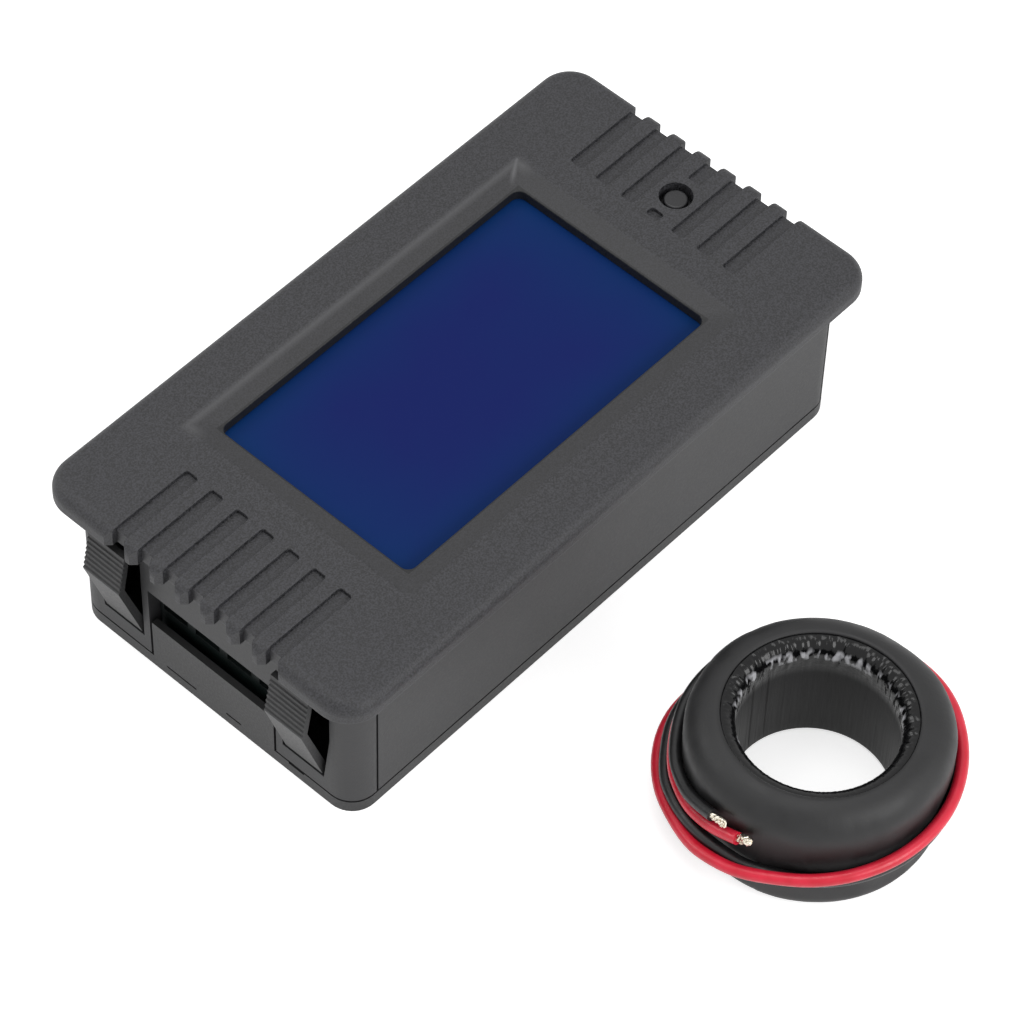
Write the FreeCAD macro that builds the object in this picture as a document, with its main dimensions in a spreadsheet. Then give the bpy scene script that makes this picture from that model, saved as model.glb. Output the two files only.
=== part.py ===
import FreeCAD, Part
import Sketcher
import math
import os

# Panel energy meter with its ring current sensor, millimetres, +Z towards the display.
# Origin: centre of the meter's back face. The sensor stands beside the meter on the same surface.

V = FreeCAD.Vector
doc = FreeCAD.newDocument("power_meter")
sheet = doc.addObject("Spreadsheet::Sheet", "Dim")

SIZES = [
    # front case
    ("face_length", 89.6), ("face_width", 49.2), ("case_height", 24.8),
    ("flange_thick", 2.8), ("flange_corner", 4.4), ("flange_round", 1.7),
    ("body_length", 84.0), ("body_width", 44.3), ("body_corner", 3.4), ("case_wall", 1.8),
    ("plate_thick", 2.1), ("parting_gap", 0.3), ("fit_gap", 0.1), ("running_gap", 0.05),
    ("side_line_width", 0.3), ("side_line_depth", 0.4), ("side_line_near", 4.0), ("side_line_far", 2.2),
    # display window and its sloped frame
    ("window_length", 50.4), ("window_width", 29.6), ("window_corner", 1.2),
    ("bevel_width", 2.9), ("bevel_depth", 0.75), ("bevel_corner", 1.8),
    # finger grooves at both ends of the face, which run out over its edge as notches
    ("groove_pitch", 4.0), ("groove_width", 1.9), ("groove_depth", 0.55), ("groove_gap", 4.2),
    ("groove_corner", 0.4), ("edge_round", 0.2), ("stub_length", 1.2), ("notch_depth", 1.4),
    ("tooth_chamfer", 0.7),
    # setting button and the push switch under it
    ("button_inset", 5.3), ("button_hole", 4.2), ("button_gap", 0.6), ("button_sink", 0.5),
    ("button_rim_over", 0.6), ("button_rim_thick", 1.0), ("button_travel", 0.3), ("button_round", 0.3),
    ("button_land", 1.05), ("switch_size", 6.0), ("switch_neck", 0.8), ("switch_lid_thick", 0.3),
    ("switch_well", 4.6), ("switch_floor", 0.9), ("dome_thick", 0.2), ("plunger_size", 3.3),
    # wire window in the -X end, filled in its lower part by the back cover's tab
    ("wire_window_land", 0.1), ("wire_window_drop", 0.5), ("tab_slit", 0.35), ("tab_thick", 0.9),
    ("tab_root", 0.5),
    # snap clips and the slots that they flex in
    ("clip_offset", 1.44), ("clip_width", 5.8), ("slot_inside", 0.4), ("slot_outside", 1.3),
    ("slot_foot", 0.3), ("slot_taper", 9.6), ("clip_hinge_rise", 2.95), ("clip_root", 0.55),
    ("clip_peak_out", 3.1), ("clip_peak_drop", 7.2), ("clip_tip_out", 1.9), ("clip_tip_drop", 1.6),
    ("clip_thick", 0.85), ("clip_peak_thick", 0.95), ("rib_depth", 0.16),
    # back cover
    ("cover_lip", 1.75), ("cover_rim_height", 3.2), ("cover_rim_wall", 1.2), ("latch_length", 7.0),
    ("latch_place", 22.0), ("latch_height", 0.8), ("latch_depth", 0.35), ("driver_hole", 4.0),
    ("latch_drop", 1.6), ("rim_corner", 0.6), ("dash_height", 0.3), ("dash_depth", 0.4),
    ("long_dash", 4.8), ("long_dash_y", 5.2), ("short_dash", 2.4), ("short_dash_y", 3.2),
    ("far_dash_y", 13.2),
    # circuit board, its posts and screws
    ("board_thick", 1.6), ("board_inset", 3.6), ("board_side_gap", 0.3), ("board_end_gap", 0.25),
    ("tongue_gap", 2.5), ("post_inset_x", 3.1), ("post_inset_y", 2.9), ("post_size", 4.8),
    ("screw_size", 2.0), ("screw_length", 5.0), ("screw_head", 3.6), ("screw_head_thick", 1.3),
    ("screw_slot", 0.6), ("pilot_floor", 0.4),
    # display module
    ("glass_overlap_x", 3.0), ("glass_overlap_y", 2.4), ("glass_thick", 2.0), ("film_thick", 0.2),
    ("film_margin", 1.2), ("light_margin", 0.4), ("light_thick", 3.15), ("pin_count", 12),
    ("pin_pitch", 2.54), ("pin_size", 0.5), ("pin_tail", 0.8), ("pin_offset", 0.3),
    # terminal block
    ("way_pitch", 5.08), ("block_depth", 8.3), ("block_gap", 0.45), ("wire_hole_width", 3.8),
    ("cage_width", 4.1), ("cage_depth", 4.6), ("cage_under", 1.1), ("cage_roof", 1.1),
    ("cage_wall", 0.7), ("cage_gap", 0.15), ("cage_inset", 2.0), ("contact_rise", 6.1),
    ("contact_thick", 0.8), ("contact_width", 2.2), ("contact_reach", 1.0), ("leg_thick", 0.7),
    ("leg_width", 0.9), ("leg_tail", 0.6), ("clamp_screw", 2.5), ("clamp_head", 3.6),
    ("clamp_head_thick", 1.2), ("clamp_head_sink", 0.3), ("clamp_slot", 0.7),
    ("clamp_slot_depth", 0.6), ("clamp_shoulder", 0.6),
    # ring current sensor
    ("ring_x", -4.04), ("ring_y", -57.76), ("ring_outer", 15.1), ("ring_height", 16.8),
    ("ring_rim", 11.2), ("ring_bore", 9.4), ("ring_flare", 2.4), ("ring_foot", 2.4),
    ("tape_thick", 0.6), ("core_inner", 11.2), ("core_outer", 13.4), ("core_margin", 2.6),
    ("patch_thick", 2.2), ("patch_start", 24.0), ("patch_end", 48.0), ("patch_low", 1.6),
    ("patch_high", 6.4), ("lead_size", 1.5), ("strand_size", 0.9), ("strand_length", 2.3),
]

# Pieces under the board: place along X and Y, length, width and height
HUNG = {
    "controller_chip": (-6.0, -6.0, 12.0, 7.4, 2.2),
    "metering_chip": (-17.5, 4.5, 9.0, 5.3, 1.7),
    "memory_chip": (8.0, -13.0, 4.9, 3.9, 1.5),
    "display_driver_chip": (8.5, 0.5, 12.8, 6.2, 2.0),
    "film_capacitor": (24.5, 11.5, 13.0, 6.0, 10.0),
    "crystal": (-6.5, 4.5, 10.0, 3.6, 3.4),
    "smoothing_capacitor_1": (19.0, -11.0, 6.3, 6.3, 8.5),
    "smoothing_capacitor_2": (28.0, -11.0, 6.3, 6.3, 8.5),
    "surge_varistor": (-24.5, 12.9, 9.0, 3.4, 9.3),
    "dropper_resistor": (8.5, 15.5, 9.0, 3.6, 4.4),
    "burden_resistor": (-19.8, -12.0, 3.2, 1.6, 0.6),
}
SIZES += [("%s_%s" % (name, word), number) for name, numbers in HUNG.items()
          for word, number in zip(("x", "y", "length", "width", "height"), numbers)]
SIZES += [("chip_stand_off", 0.15), ("chip_pitch", 1.27), ("chip_lead", 0.4), ("chip_lead_reach", 1.05),
          ("chip_lead_thick", 0.5), ("wire_leg", 0.6), ("leg_spread", 5.0), ("burden_pitch", 4.2)]

for row, (name, size) in enumerate(SIZES, 1):
    sheet.set("A%d" % row, name)
    sheet.set("B%d" % row, str(size))
    sheet.setAlias("B%d" % row, name)
doc.recompute()

TURN_STEP = 45.0    # degrees of the ring that one pair of arcs of a lead spans, at most


def value(expression):
    return float(sheet.evalExpression(str(expression)))


# Sketches

def sketch(body, name, level="0", role="XY_Plane"):
    plane = [f for f in body.Origin.OriginFeatures if f.Role == role][0]
    made = body.newObject("Sketcher::SketchObject", name)
    made.AttachmentSupport = (plane, [""])
    made.MapMode = "FlatFace"
    made.setExpression("AttachmentOffset.Base.z", str(level))
    return made


def tie(sk, kind, edge, end, expression):
    index = sk.addConstraint(Sketcher.Constraint(kind, -1, 1, edge, end, value(expression)))
    sk.setExpression("Constraints[%d]" % index, str(expression))


def outline(sk, points):
    spots = [V(value(x), value(y), 0) for x, y in points]
    first = sk.GeometryCount
    count = len(spots)
    for i in range(count):
        sk.addGeometry(Part.LineSegment(spots[i], spots[(i + 1) % count]), False)
    for i in range(count):
        sk.addConstraint(Sketcher.Constraint("Coincident", first + i, 2, first + (i + 1) % count, 1))
    for i, (x, y) in enumerate(points):
        tie(sk, "DistanceX", first + i, 1, x)
        tie(sk, "DistanceY", first + i, 1, y)


def rectangle(sk, x0, x1, y0, y1):
    outline(sk, [(x0, y0), (x1, y0), (x1, y1), (x0, y1)])


def circle(sk, x, y, radius):
    index = sk.addGeometry(Part.Circle(V(value(x), value(y), 0), V(0, 0, 1), value(radius)), False)
    tie(sk, "DistanceX", index, 3, x)
    tie(sk, "DistanceY", index, 3, y)
    size = sk.addConstraint(Sketcher.Constraint("Radius", index, value(radius)))
    sk.setExpression("Constraints[%d]" % size, str(radius))


def rounded(sk, length, width, corner):
    """Rounded rectangle about the origin."""
    hx, hy, r = value(length) / 2, value(width) / 2, value(corner)
    first = sk.GeometryCount
    ends = [((-hx + r, -hy), (hx - r, -hy)), ((hx, -hy + r), (hx, hy - r)),
            ((hx - r, hy), (-hx + r, hy)), ((-hx, hy - r), (-hx, -hy + r))]
    centres = [(hx - r, -hy + r), (hx - r, hy - r), (-hx + r, hy - r), (-hx + r, -hy + r)]
    for i in range(4):
        a, b = ends[i]
        sk.addGeometry(Part.LineSegment(V(a[0], a[1], 0), V(b[0], b[1], 0)), False)
    for i in range(4):
        ring = Part.Circle(V(centres[i][0], centres[i][1], 0), V(0, 0, 1), r)
        start = math.radians(-90 + 90 * i)
        sk.addGeometry(Part.ArcOfCircle(ring, start, start + math.pi / 2), False)
    for i in range(4):
        line, arc, after = first + i, first + 4 + i, first + (i + 1) % 4
        sk.addConstraint(Sketcher.Constraint("Tangent", line, 2, arc, 1))
        sk.addConstraint(Sketcher.Constraint("Tangent", arc, 2, after, 1))
        sk.addConstraint(Sketcher.Constraint("Horizontal" if i % 2 == 0 else "Vertical", line))
    for i in range(1, 4):
        sk.addConstraint(Sketcher.Constraint("Equal", first + 4, first + 4 + i))
    size = sk.addConstraint(Sketcher.Constraint("Radius", first + 4, r))
    sk.setExpression("Constraints[%d]" % size, str(corner))
    tie(sk, "DistanceY", first, 1, "-(%s) / 2" % width)
    tie(sk, "DistanceX", first + 1, 1, "(%s) / 2" % length)
    tie(sk, "DistanceY", first + 2, 1, "(%s) / 2" % width)
    tie(sk, "DistanceX", first + 3, 1, "-(%s) / 2" % length)


# Features of a body

def new_body(label):
    made = doc.addObject("PartDesign::Body", label)
    made.Label = label
    return made


def pad(body, name, sk, length, backwards=False):
    made = body.newObject("PartDesign::Pad", name)
    made.Profile = sk
    made.Reversed = backwards
    made.setExpression("Length", str(length))
    doc.recompute()
    return made


def pocket(body, name, sk, depth, backwards=False):
    before = body.Tip.Shape.Volume
    made = body.newObject("PartDesign::Pocket", name)
    made.Profile = sk
    made.Reversed = backwards
    made.setExpression("Length", str(depth))
    doc.recompute()
    if not made.Shape.Volume < before:
        raise RuntimeError("%s cuts nothing" % name)
    return made


def revolve(body, name, sk):
    made = body.newObject("PartDesign::Revolution", name)
    made.Profile = sk
    made.ReferenceAxis = (sk, ["V_Axis"])
    made.Angle = 360.0
    doc.recompute()
    return made


def edges_of(feature, wanted):
    return ["Edge%d" % (i + 1) for i, edge in enumerate(feature.Shape.Edges) if wanted(edge)]


def fillet(body, name, radius, wanted):
    base = body.Tip
    names = edges_of(base, wanted)
    made = body.newObject("PartDesign::Fillet", name)
    made.Base = (base, names)
    made.setExpression("Radius", str(radius))
    doc.recompute()
    return made


def level_edge(level):
    height = value(level)
    return lambda edge: abs(edge.BoundBox.ZMin - height) < 1e-4 and abs(edge.BoundBox.ZMax - height) < 1e-4


def ring_edge(radius, level):
    size, height = value(radius), value(level)

    def wanted(edge):
        box = edge.BoundBox
        return abs(box.ZMax - height) < 1e-4 and abs(box.ZMin - height) < 1e-4 and \
            abs(max(abs(box.XMax), abs(box.XMin)) - size) < 1e-4
    return wanted


# Plain solids tied to the sheet

def block(label, x0, x1, y0, y1, z0, z1):
    made = doc.addObject("Part::Box", label)
    made.Label = label
    made.setExpression("Length", "(%s) - (%s)" % (x1, x0))
    made.setExpression("Width", "(%s) - (%s)" % (y1, y0))
    made.setExpression("Height", "(%s) - (%s)" % (z1, z0))
    made.setExpression("Placement.Base.x", str(x0))
    made.setExpression("Placement.Base.y", str(y0))
    made.setExpression("Placement.Base.z", str(z0))
    return made


def drum(label, x, y, z0, z1, size):
    """Upright cylinder; size is its diameter."""
    made = doc.addObject("Part::Cylinder", label)
    made.Label = label
    made.setExpression("Radius", "(%s) / 2" % size)
    made.setExpression("Height", "(%s) - (%s)" % (z1, z0))
    made.setExpression("Placement.Base.x", str(x))
    made.setExpression("Placement.Base.y", str(y))
    made.setExpression("Placement.Base.z", str(z0))
    return made


def lying_drum(label, x0, x1, y, z, size):
    """Cylinder along X."""
    made = doc.addObject("Part::Cylinder", label)
    made.Label = label
    made.setExpression("Radius", "(%s) / 2" % size)
    made.setExpression("Height", "(%s) - (%s)" % (x1, x0))
    made.Placement.Rotation = FreeCAD.Rotation(V(0, 1, 0), 90)
    made.setExpression("Placement.Base.x", str(x0))
    made.setExpression("Placement.Base.y", str(y))
    made.setExpression("Placement.Base.z", str(z))
    return made


def fuse(label, shapes):
    made = doc.addObject("Part::MultiFuse", label)
    made.Label = label
    made.Shapes = shapes
    return made


def cut(label, base, tools):
    tool = tools[0] if len(tools) == 1 else fuse(label + "_tools", tools)
    made = doc.addObject("Part::Cut", label)
    made.Label = label
    made.Base = base
    made.Tool = tool
    return made


def group(label, shapes):
    made = doc.addObject("Part::Compound", label)
    made.Label = label
    made.Links = shapes
    return made


def slotted_screw(label, x, y, low, head_top, tip, head_size, size, slot_width, slot_depth):
    """Upright screw with its head at the low end."""
    head = drum(label + "_head", x, y, low, head_top, head_size)
    shank = drum(label + "_shank", x, y, "%s + %s" % (low, slot_depth), tip, size)
    slot = block(label + "_slot", "%s - %s / 2" % (x, slot_width), "%s + %s / 2" % (x, slot_width),
                 "%s - %s" % (y, head_size), "%s + %s" % (y, head_size),
                 "%s - %s" % (low, slot_depth), "%s + %s" % (low, slot_depth))
    return cut(label, fuse(label + "_blank", [head, shank]), [slot])


nodes = []


def keep(sub_part):
    nodes.append(sub_part)
    return sub_part


# Shared levels and places

UNDERSIDE = "Dim.case_height - Dim.plate_thick"
FLANGE_LOW = "Dim.case_height - Dim.flange_thick"
CASE_LOW = "Dim.cover_lip + Dim.parting_gap"
INNER_END = "Dim.body_length / 2 - Dim.case_wall"
INNER_SIDE = "Dim.body_width / 2 - Dim.case_wall"
GROOVE_START = "Dim.window_length / 2 + Dim.bevel_width + Dim.groove_gap"
BUTTON_X = "Dim.body_length / 2 - Dim.button_inset"
BUTTON_LAND = "Dim.button_hole / 2 + Dim.button_land"

GLASS_TOP = "%s - Dim.fit_gap - Dim.film_thick" % UNDERSIDE
GLASS_LOW = "%s - Dim.glass_thick" % GLASS_TOP
BOARD_TOP = "%s - Dim.running_gap - Dim.light_thick" % GLASS_LOW
BOARD_LOW = "%s - Dim.board_thick" % BOARD_TOP
BOARD_END = "%s - Dim.board_inset" % INNER_END
BOARD_SIDE = "%s - Dim.board_side_gap" % INNER_SIDE
POST_X = "(%s - Dim.post_inset_x)" % BOARD_END
POST_Y = "(%s - Dim.post_inset_y)" % BOARD_SIDE

BLOCK_LOW = "Dim.cover_lip + Dim.block_gap"
CONTACT_LEVEL = "%s + Dim.contact_rise" % BLOCK_LOW
CAGE_LOW = "%s - Dim.cage_under" % CONTACT_LEVEL
CAGE_HIGH = "%s - Dim.cage_roof" % BOARD_LOW
WINDOW_LOW = "%s - Dim.fit_gap" % CONTACT_LEVEL
WINDOW_HIGH = "%s - Dim.wire_window_drop" % CAGE_HIGH
WINDOW_HALF = "2 * Dim.way_pitch - Dim.wire_window_land"
WINDOW_SIDE_LOW = "-(%s)" % WINDOW_HALF

CLIP_INNER = "%s + Dim.clip_offset" % WINDOW_HALF
SLOT_INNER = "(%s - Dim.slot_inside)" % CLIP_INNER
SLOT_OUTER = "(%s + Dim.clip_width + Dim.slot_outside)" % CLIP_INNER
HINGE_LEVEL = "%s + Dim.clip_hinge_rise" % CASE_LOW
PEAK_LEVEL = "%s - Dim.clip_peak_drop" % FLANGE_LOW
TIP_LEVEL = "%s - Dim.clip_tip_drop" % FLANGE_LOW
SLOT_SILL = "%s - Dim.clip_root - Dim.running_gap" % HINGE_LEVEL
SLOT_FOOT = "(%s + Dim.clip_width + Dim.slot_foot)" % CLIP_INNER
SLOT_OUTLINE = [(SLOT_INNER, SLOT_SILL), (SLOT_FOOT, SLOT_SILL),
                (SLOT_OUTER, "%s - Dim.slot_taper" % FLANGE_LOW), (SLOT_OUTER, FLANGE_LOW),
                (SLOT_INNER, FLANGE_LOW)]
LATCH_LEVEL = "Dim.cover_lip + Dim.cover_rim_height - Dim.latch_drop"
GROOVES_EACH_SIDE = 3
CLIP_RIBS = 7
WAYS = 4
CORNERS = [(end, side) for end in (-1, 1) for side in (-1, 1)]
SAMPLES = 400       # points on which a lead's gap to itself is measured


def ordered(sign, near, far):
    """Two expressions mirrored by sign, the lower one first."""
    return sorted(["%d * (%s)" % (sign, near), "%d * (%s)" % (sign, far)], key=value)


def groove_corner_edge(edge):
    """Upright edges at the closed ends of the grooves."""
    box = edge.BoundBox
    return box.XLength < 1e-4 and box.YLength < 1e-4 and box.ZLength > 0.1 and \
        value(GROOVE_START) - 0.1 < abs(box.XMin) < value("%s + 2 * Dim.button_hole" % BUTTON_X) and \
        box.ZMax > value("Dim.case_height - Dim.groove_depth / 2")


def groove_rim_edge(edge):
    """Edges round the mouths of the grooves, on the face."""
    box = edge.BoundBox
    nearest = min(abs(box.XMin), abs(box.XMax))
    return level_edge("Dim.case_height")(edge) and nearest > value(GROOVE_START) - 0.5 and \
        abs(box.YMax) < value("Dim.face_width / 2 - Dim.flange_corner")


def window_lip_edge(edge):
    return level_edge("Dim.case_height - Dim.bevel_depth")(edge)


def notch(sk, end, middle):
    """Notch in the face's edge at one end, its mouth flared into the edge."""
    rim = "Dim.face_length / 2"
    inset = "%s - Dim.tooth_chamfer" % rim
    half = "Dim.groove_width / 2"
    mouth = "(%s + Dim.tooth_chamfer)" % half
    corners = [("%s - Dim.notch_depth" % rim, half), (inset, half), (rim, mouth), ("%s + 1" % rim, mouth)]
    points = [("%d * (%s)" % (end, x), "%s - %s" % (middle, y)) for x, y in corners]
    points += [("%d * (%s)" % (end, x), "%s + %s" % (middle, y)) for x, y in reversed(corners)]
    outline(sk, points)


# Front case: face flange, walls, display window, grooves, wire window and clip slots

def front_case():
    body = new_body("front_case")
    face = sketch(body, "FaceOutline", FLANGE_LOW)
    rounded(face, "Dim.face_length", "Dim.face_width", "Dim.flange_corner")
    pad(body, "Flange", face, "Dim.flange_thick")
    fillet(body, "FlangeRound", "Dim.flange_round", level_edge("Dim.case_height"))

    walls = sketch(body, "WallOutline", CASE_LOW)
    rounded(walls, "Dim.body_length", "Dim.body_width", "Dim.body_corner")
    pad(body, "Walls", walls, "%s - (%s)" % (UNDERSIDE, CASE_LOW))
    inside = sketch(body, "Cavity", CASE_LOW)
    rounded(inside, "Dim.body_length - 2 * Dim.case_wall", "Dim.body_width - 2 * Dim.case_wall",
            "Dim.body_corner - Dim.case_wall")
    pocket(body, "Hollow", inside, "%s - (%s)" % (UNDERSIDE, CASE_LOW), True)

    window = sketch(body, "Window", "Dim.case_height")
    rounded(window, "Dim.window_length", "Dim.window_width", "Dim.window_corner")
    pocket(body, "WindowHole", window, "Dim.plate_thick")
    top = sketch(body, "BevelTop", "Dim.case_height")
    rounded(top, "Dim.window_length + 2 * Dim.bevel_width", "Dim.window_width + 2 * Dim.bevel_width",
            "Dim.bevel_corner")
    low = sketch(body, "BevelFoot", "Dim.case_height - Dim.bevel_depth")
    rounded(low, "Dim.window_length", "Dim.window_width", "Dim.window_corner")
    bevel = body.newObject("PartDesign::SubtractiveLoft", "WindowBevel")
    bevel.Profile = top
    bevel.Sections = [low]
    bevel.Ruled = True
    doc.recompute()

    grooves = sketch(body, "Grooves", "Dim.case_height")
    for end in (-1, 1):
        for i in range(-GROOVES_EACH_SIDE, GROOVES_EACH_SIDE + 1):
            middle = "%d * Dim.groove_pitch" % i
            stretches = [(GROOVE_START, "Dim.face_length")]
            if end == 1 and i == 0:
                stretches = [(GROOVE_START, "%s + Dim.stub_length" % GROOVE_START),
                             ("%s + %s" % (BUTTON_X, BUTTON_LAND), "Dim.face_length")]
            for a, b in stretches:
                x0, x1 = (a, b) if end == 1 else ("-(%s)" % b, "-(%s)" % a)
                rectangle(grooves, x0, x1, "%s - Dim.groove_width / 2" % middle,
                          "%s + Dim.groove_width / 2" % middle)
    pocket(body, "GrooveCuts", grooves, "Dim.groove_depth")
    fillet(body, "GrooveEnds", "Dim.groove_corner", groove_corner_edge)
    fillet(body, "TopEdges", "Dim.edge_round", groove_rim_edge)
    fillet(body, "WindowLip", "Dim.edge_round", window_lip_edge)

    for number, end in enumerate((-1, 1), 1):
        notches = sketch(body, "Notches%d" % number, FLANGE_LOW)
        for i in range(-GROOVES_EACH_SIDE, GROOVES_EACH_SIDE + 1):
            notch(notches, end, "%d * Dim.groove_pitch" % i)
        pocket(body, "NotchCuts%d" % number, notches, "Dim.flange_thick", True)

    button = sketch(body, "ButtonHole", "Dim.case_height")
    circle(button, BUTTON_X, "0", "Dim.button_hole / 2")
    pocket(body, "ButtonCut", button, "Dim.plate_thick")

    wires = sketch(body, "WireWindow", "0")
    rectangle(wires, "-Dim.body_length / 2 - 1", "-(%s) + 0.05" % INNER_END,
              WINDOW_SIDE_LOW, WINDOW_HALF)
    pocket(body, "WireWindowCut", wires, WINDOW_HIGH, True)

    for number, (end, side) in enumerate(CORNERS, 1):
        x0, x1 = ordered(end, "Dim.body_length / 2 + 0.02", "%s - 0.05" % INNER_END)
        slot = sketch(body, "ClipSlot%d" % number, x0, "YZ_Plane")
        outline(slot, [("%d * %s" % (side, y), z) for y, z in SLOT_OUTLINE])
        pocket(body, "SlotCut%d" % number, slot, "%s - (%s)" % (x1, x0), True)

    lines = sketch(body, "SideLines", CASE_LOW)
    for end, side in CORNERS:
        inset = "Dim.side_line_near" if end < 0 else "Dim.side_line_far"
        middle = "%d * (Dim.body_length / 2 - %s)" % (end, inset)
        y0, y1 = ordered(side, "Dim.body_width / 2 + 0.5", "Dim.body_width / 2 - Dim.side_line_depth")
        rectangle(lines, "%s - Dim.side_line_width / 2" % middle,
                  "%s + Dim.side_line_width / 2" % middle, y0, y1)
    pocket(body, "SideLineCuts", lines, "%s - (%s)" % (FLANGE_LOW, CASE_LOW), True)

    posts = sketch(body, "Posts", UNDERSIDE)
    for end, side in CORNERS:
        circle(posts, "%d * %s" % (end, POST_X), "%d * %s" % (side, POST_Y), "Dim.post_size / 2")
    pad(body, "PostPads", posts, "%s - (%s)" % (UNDERSIDE, BOARD_TOP), True)
    pilots = sketch(body, "Pilots", BOARD_TOP)
    for end, side in CORNERS:
        circle(pilots, "%d * %s" % (end, POST_X), "%d * %s" % (side, POST_Y),
               "Dim.screw_size / 2 + Dim.running_gap")
    pocket(body, "PilotHoles", pilots, "%s - (%s) - Dim.pilot_floor" % (UNDERSIDE, BOARD_TOP), True)

    recesses = sketch(body, "LatchRecesses", "%s - Dim.fit_gap" % LATCH_LEVEL)
    for end, side in CORNERS:
        y0, y1 = ordered(side, "%s - 0.2" % INNER_SIDE, "%s + Dim.latch_depth + Dim.fit_gap" % INNER_SIDE)
        rectangle(recesses, "%d * Dim.latch_place - Dim.latch_length / 2 - Dim.fit_gap" % end,
                  "%d * Dim.latch_place + Dim.latch_length / 2 + Dim.fit_gap" % end, y0, y1)
    pocket(body, "LatchCuts", recesses, "Dim.latch_height + 2 * Dim.fit_gap", True)
    return body


# Back cover: plate, locating rim with latches, tab that closes the wire window's lower part

def back_cover():
    body = new_body("back_cover")
    plate = sketch(body, "CoverOutline", "0")
    rounded(plate, "Dim.body_length", "Dim.body_width", "Dim.body_corner")
    pad(body, "CoverPlate", plate, "Dim.cover_lip")

    rim = sketch(body, "Rim", "Dim.cover_lip")
    gap = "2 * Dim.case_wall + 2 * Dim.fit_gap"
    rounded(rim, "Dim.body_length - (%s)" % gap, "Dim.body_width - (%s)" % gap,
            "Dim.body_corner - Dim.case_wall - Dim.fit_gap")
    rounded(rim, "Dim.body_length - (%s) - 2 * Dim.cover_rim_wall" % gap,
            "Dim.body_width - (%s) - 2 * Dim.cover_rim_wall" % gap, "Dim.rim_corner")
    pad(body, "RimPad", rim, "Dim.cover_rim_height")

    ends = sketch(body, "RimGaps", "Dim.cover_lip")
    for end in (-1, 1):
        x0, x1 = ordered(end, "%s + 0.5" % INNER_END, "%s - Dim.cover_rim_wall - 0.5" % INNER_END)
        rectangle(ends, x0, x1, "-%s" % SLOT_OUTER, SLOT_OUTER)
    pocket(body, "RimGapCuts", ends, "Dim.cover_rim_height", True)

    latches = sketch(body, "Latches", LATCH_LEVEL)
    for end, side in CORNERS:
        y0, y1 = ordered(side, "%s - Dim.fit_gap - Dim.cover_rim_wall / 2" % INNER_SIDE,
                         "%s + Dim.latch_depth" % INNER_SIDE)
        rectangle(latches, "%d * Dim.latch_place - Dim.latch_length / 2" % end,
                  "%d * Dim.latch_place + Dim.latch_length / 2" % end, y0, y1)
    pad(body, "LatchPads", latches, "Dim.latch_height")

    tab = sketch(body, "Tab", "Dim.cover_lip - Dim.tab_root")
    rectangle(tab, "-Dim.body_length / 2", "-Dim.body_length / 2 + Dim.tab_thick",
              "%s + Dim.tab_slit" % WINDOW_SIDE_LOW, "%s - Dim.tab_slit" % WINDOW_HALF)
    pad(body, "TabPad", tab, "%s - (Dim.cover_lip - Dim.tab_root)" % WINDOW_LOW)

    holes = sketch(body, "DriverHoles", "0")
    for i in range(WAYS):
        circle(holes, CLAMP_X, way(i), "Dim.driver_hole / 2")
    pocket(body, "DriverCuts", holes, "Dim.cover_lip", True)

    dashes = sketch(body, "Dashes", "Dim.cover_lip - Dim.dash_height")
    for middle, length in (("Dim.long_dash_y", "Dim.long_dash"), ("-Dim.short_dash_y", "Dim.short_dash"),
                           ("-Dim.far_dash_y", "Dim.short_dash")):
        rectangle(dashes, "-Dim.body_length / 2 - 1", "-Dim.body_length / 2 + Dim.dash_depth",
                  "%s - %s / 2" % (middle, length), "%s + %s / 2" % (middle, length))
    pocket(body, "DashCuts", dashes, "Dim.dash_height", True)
    return body


# Snap clip: a tongue rooted low in the end wall, ribbed where it grips the panel's back edge

def snap_clip(label, end, side):
    body = new_body(label)
    wall = "Dim.body_length / 2"
    run_x = "(Dim.clip_tip_out - Dim.clip_peak_out)"
    run_z = "(Dim.clip_peak_drop - Dim.clip_tip_drop)"
    profile = [(wall, HINGE_LEVEL), ("%s + Dim.clip_peak_out" % wall, PEAK_LEVEL)]
    for i in range(CLIP_RIBS):
        for share, inset in ((0.28, "0"), (0.36, "Dim.rib_depth"), (0.84, "Dim.rib_depth"), (0.92, "0")):
            part_way = round((i + share) / (CLIP_RIBS + 0.5), 5)
            profile.append(("%s + Dim.clip_peak_out + %s * %s - %s" % (wall, part_way, run_x, inset),
                            "%s + %s * %s" % (PEAK_LEVEL, part_way, run_z)))
    profile += [("%s + Dim.clip_tip_out" % wall, TIP_LEVEL),
                ("%s + Dim.clip_tip_out - Dim.clip_thick" % wall, TIP_LEVEL),
                ("%s + Dim.clip_peak_out - Dim.clip_peak_thick" % wall, PEAK_LEVEL),
                ("%s - 2 * Dim.clip_root" % wall, HINGE_LEVEL)]
    start = CLIP_INNER if side < 0 else "-(%s) - Dim.clip_width" % CLIP_INNER
    tongue = sketch(body, "Tongue", start, "XZ_Plane")
    outline(tongue, [("%d * (%s)" % (end, x), z) for x, z in profile])
    pad(body, "TonguePad", tongue, "Dim.clip_width")
    root = sketch(body, "Root", start, "XZ_Plane")
    circle(root, "%d * (%s - Dim.clip_root)" % (end, wall), HINGE_LEVEL, "Dim.clip_root")
    pad(body, "RootPad", root, "Dim.clip_width")
    return body


# Setting button and the push switch under it

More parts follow.
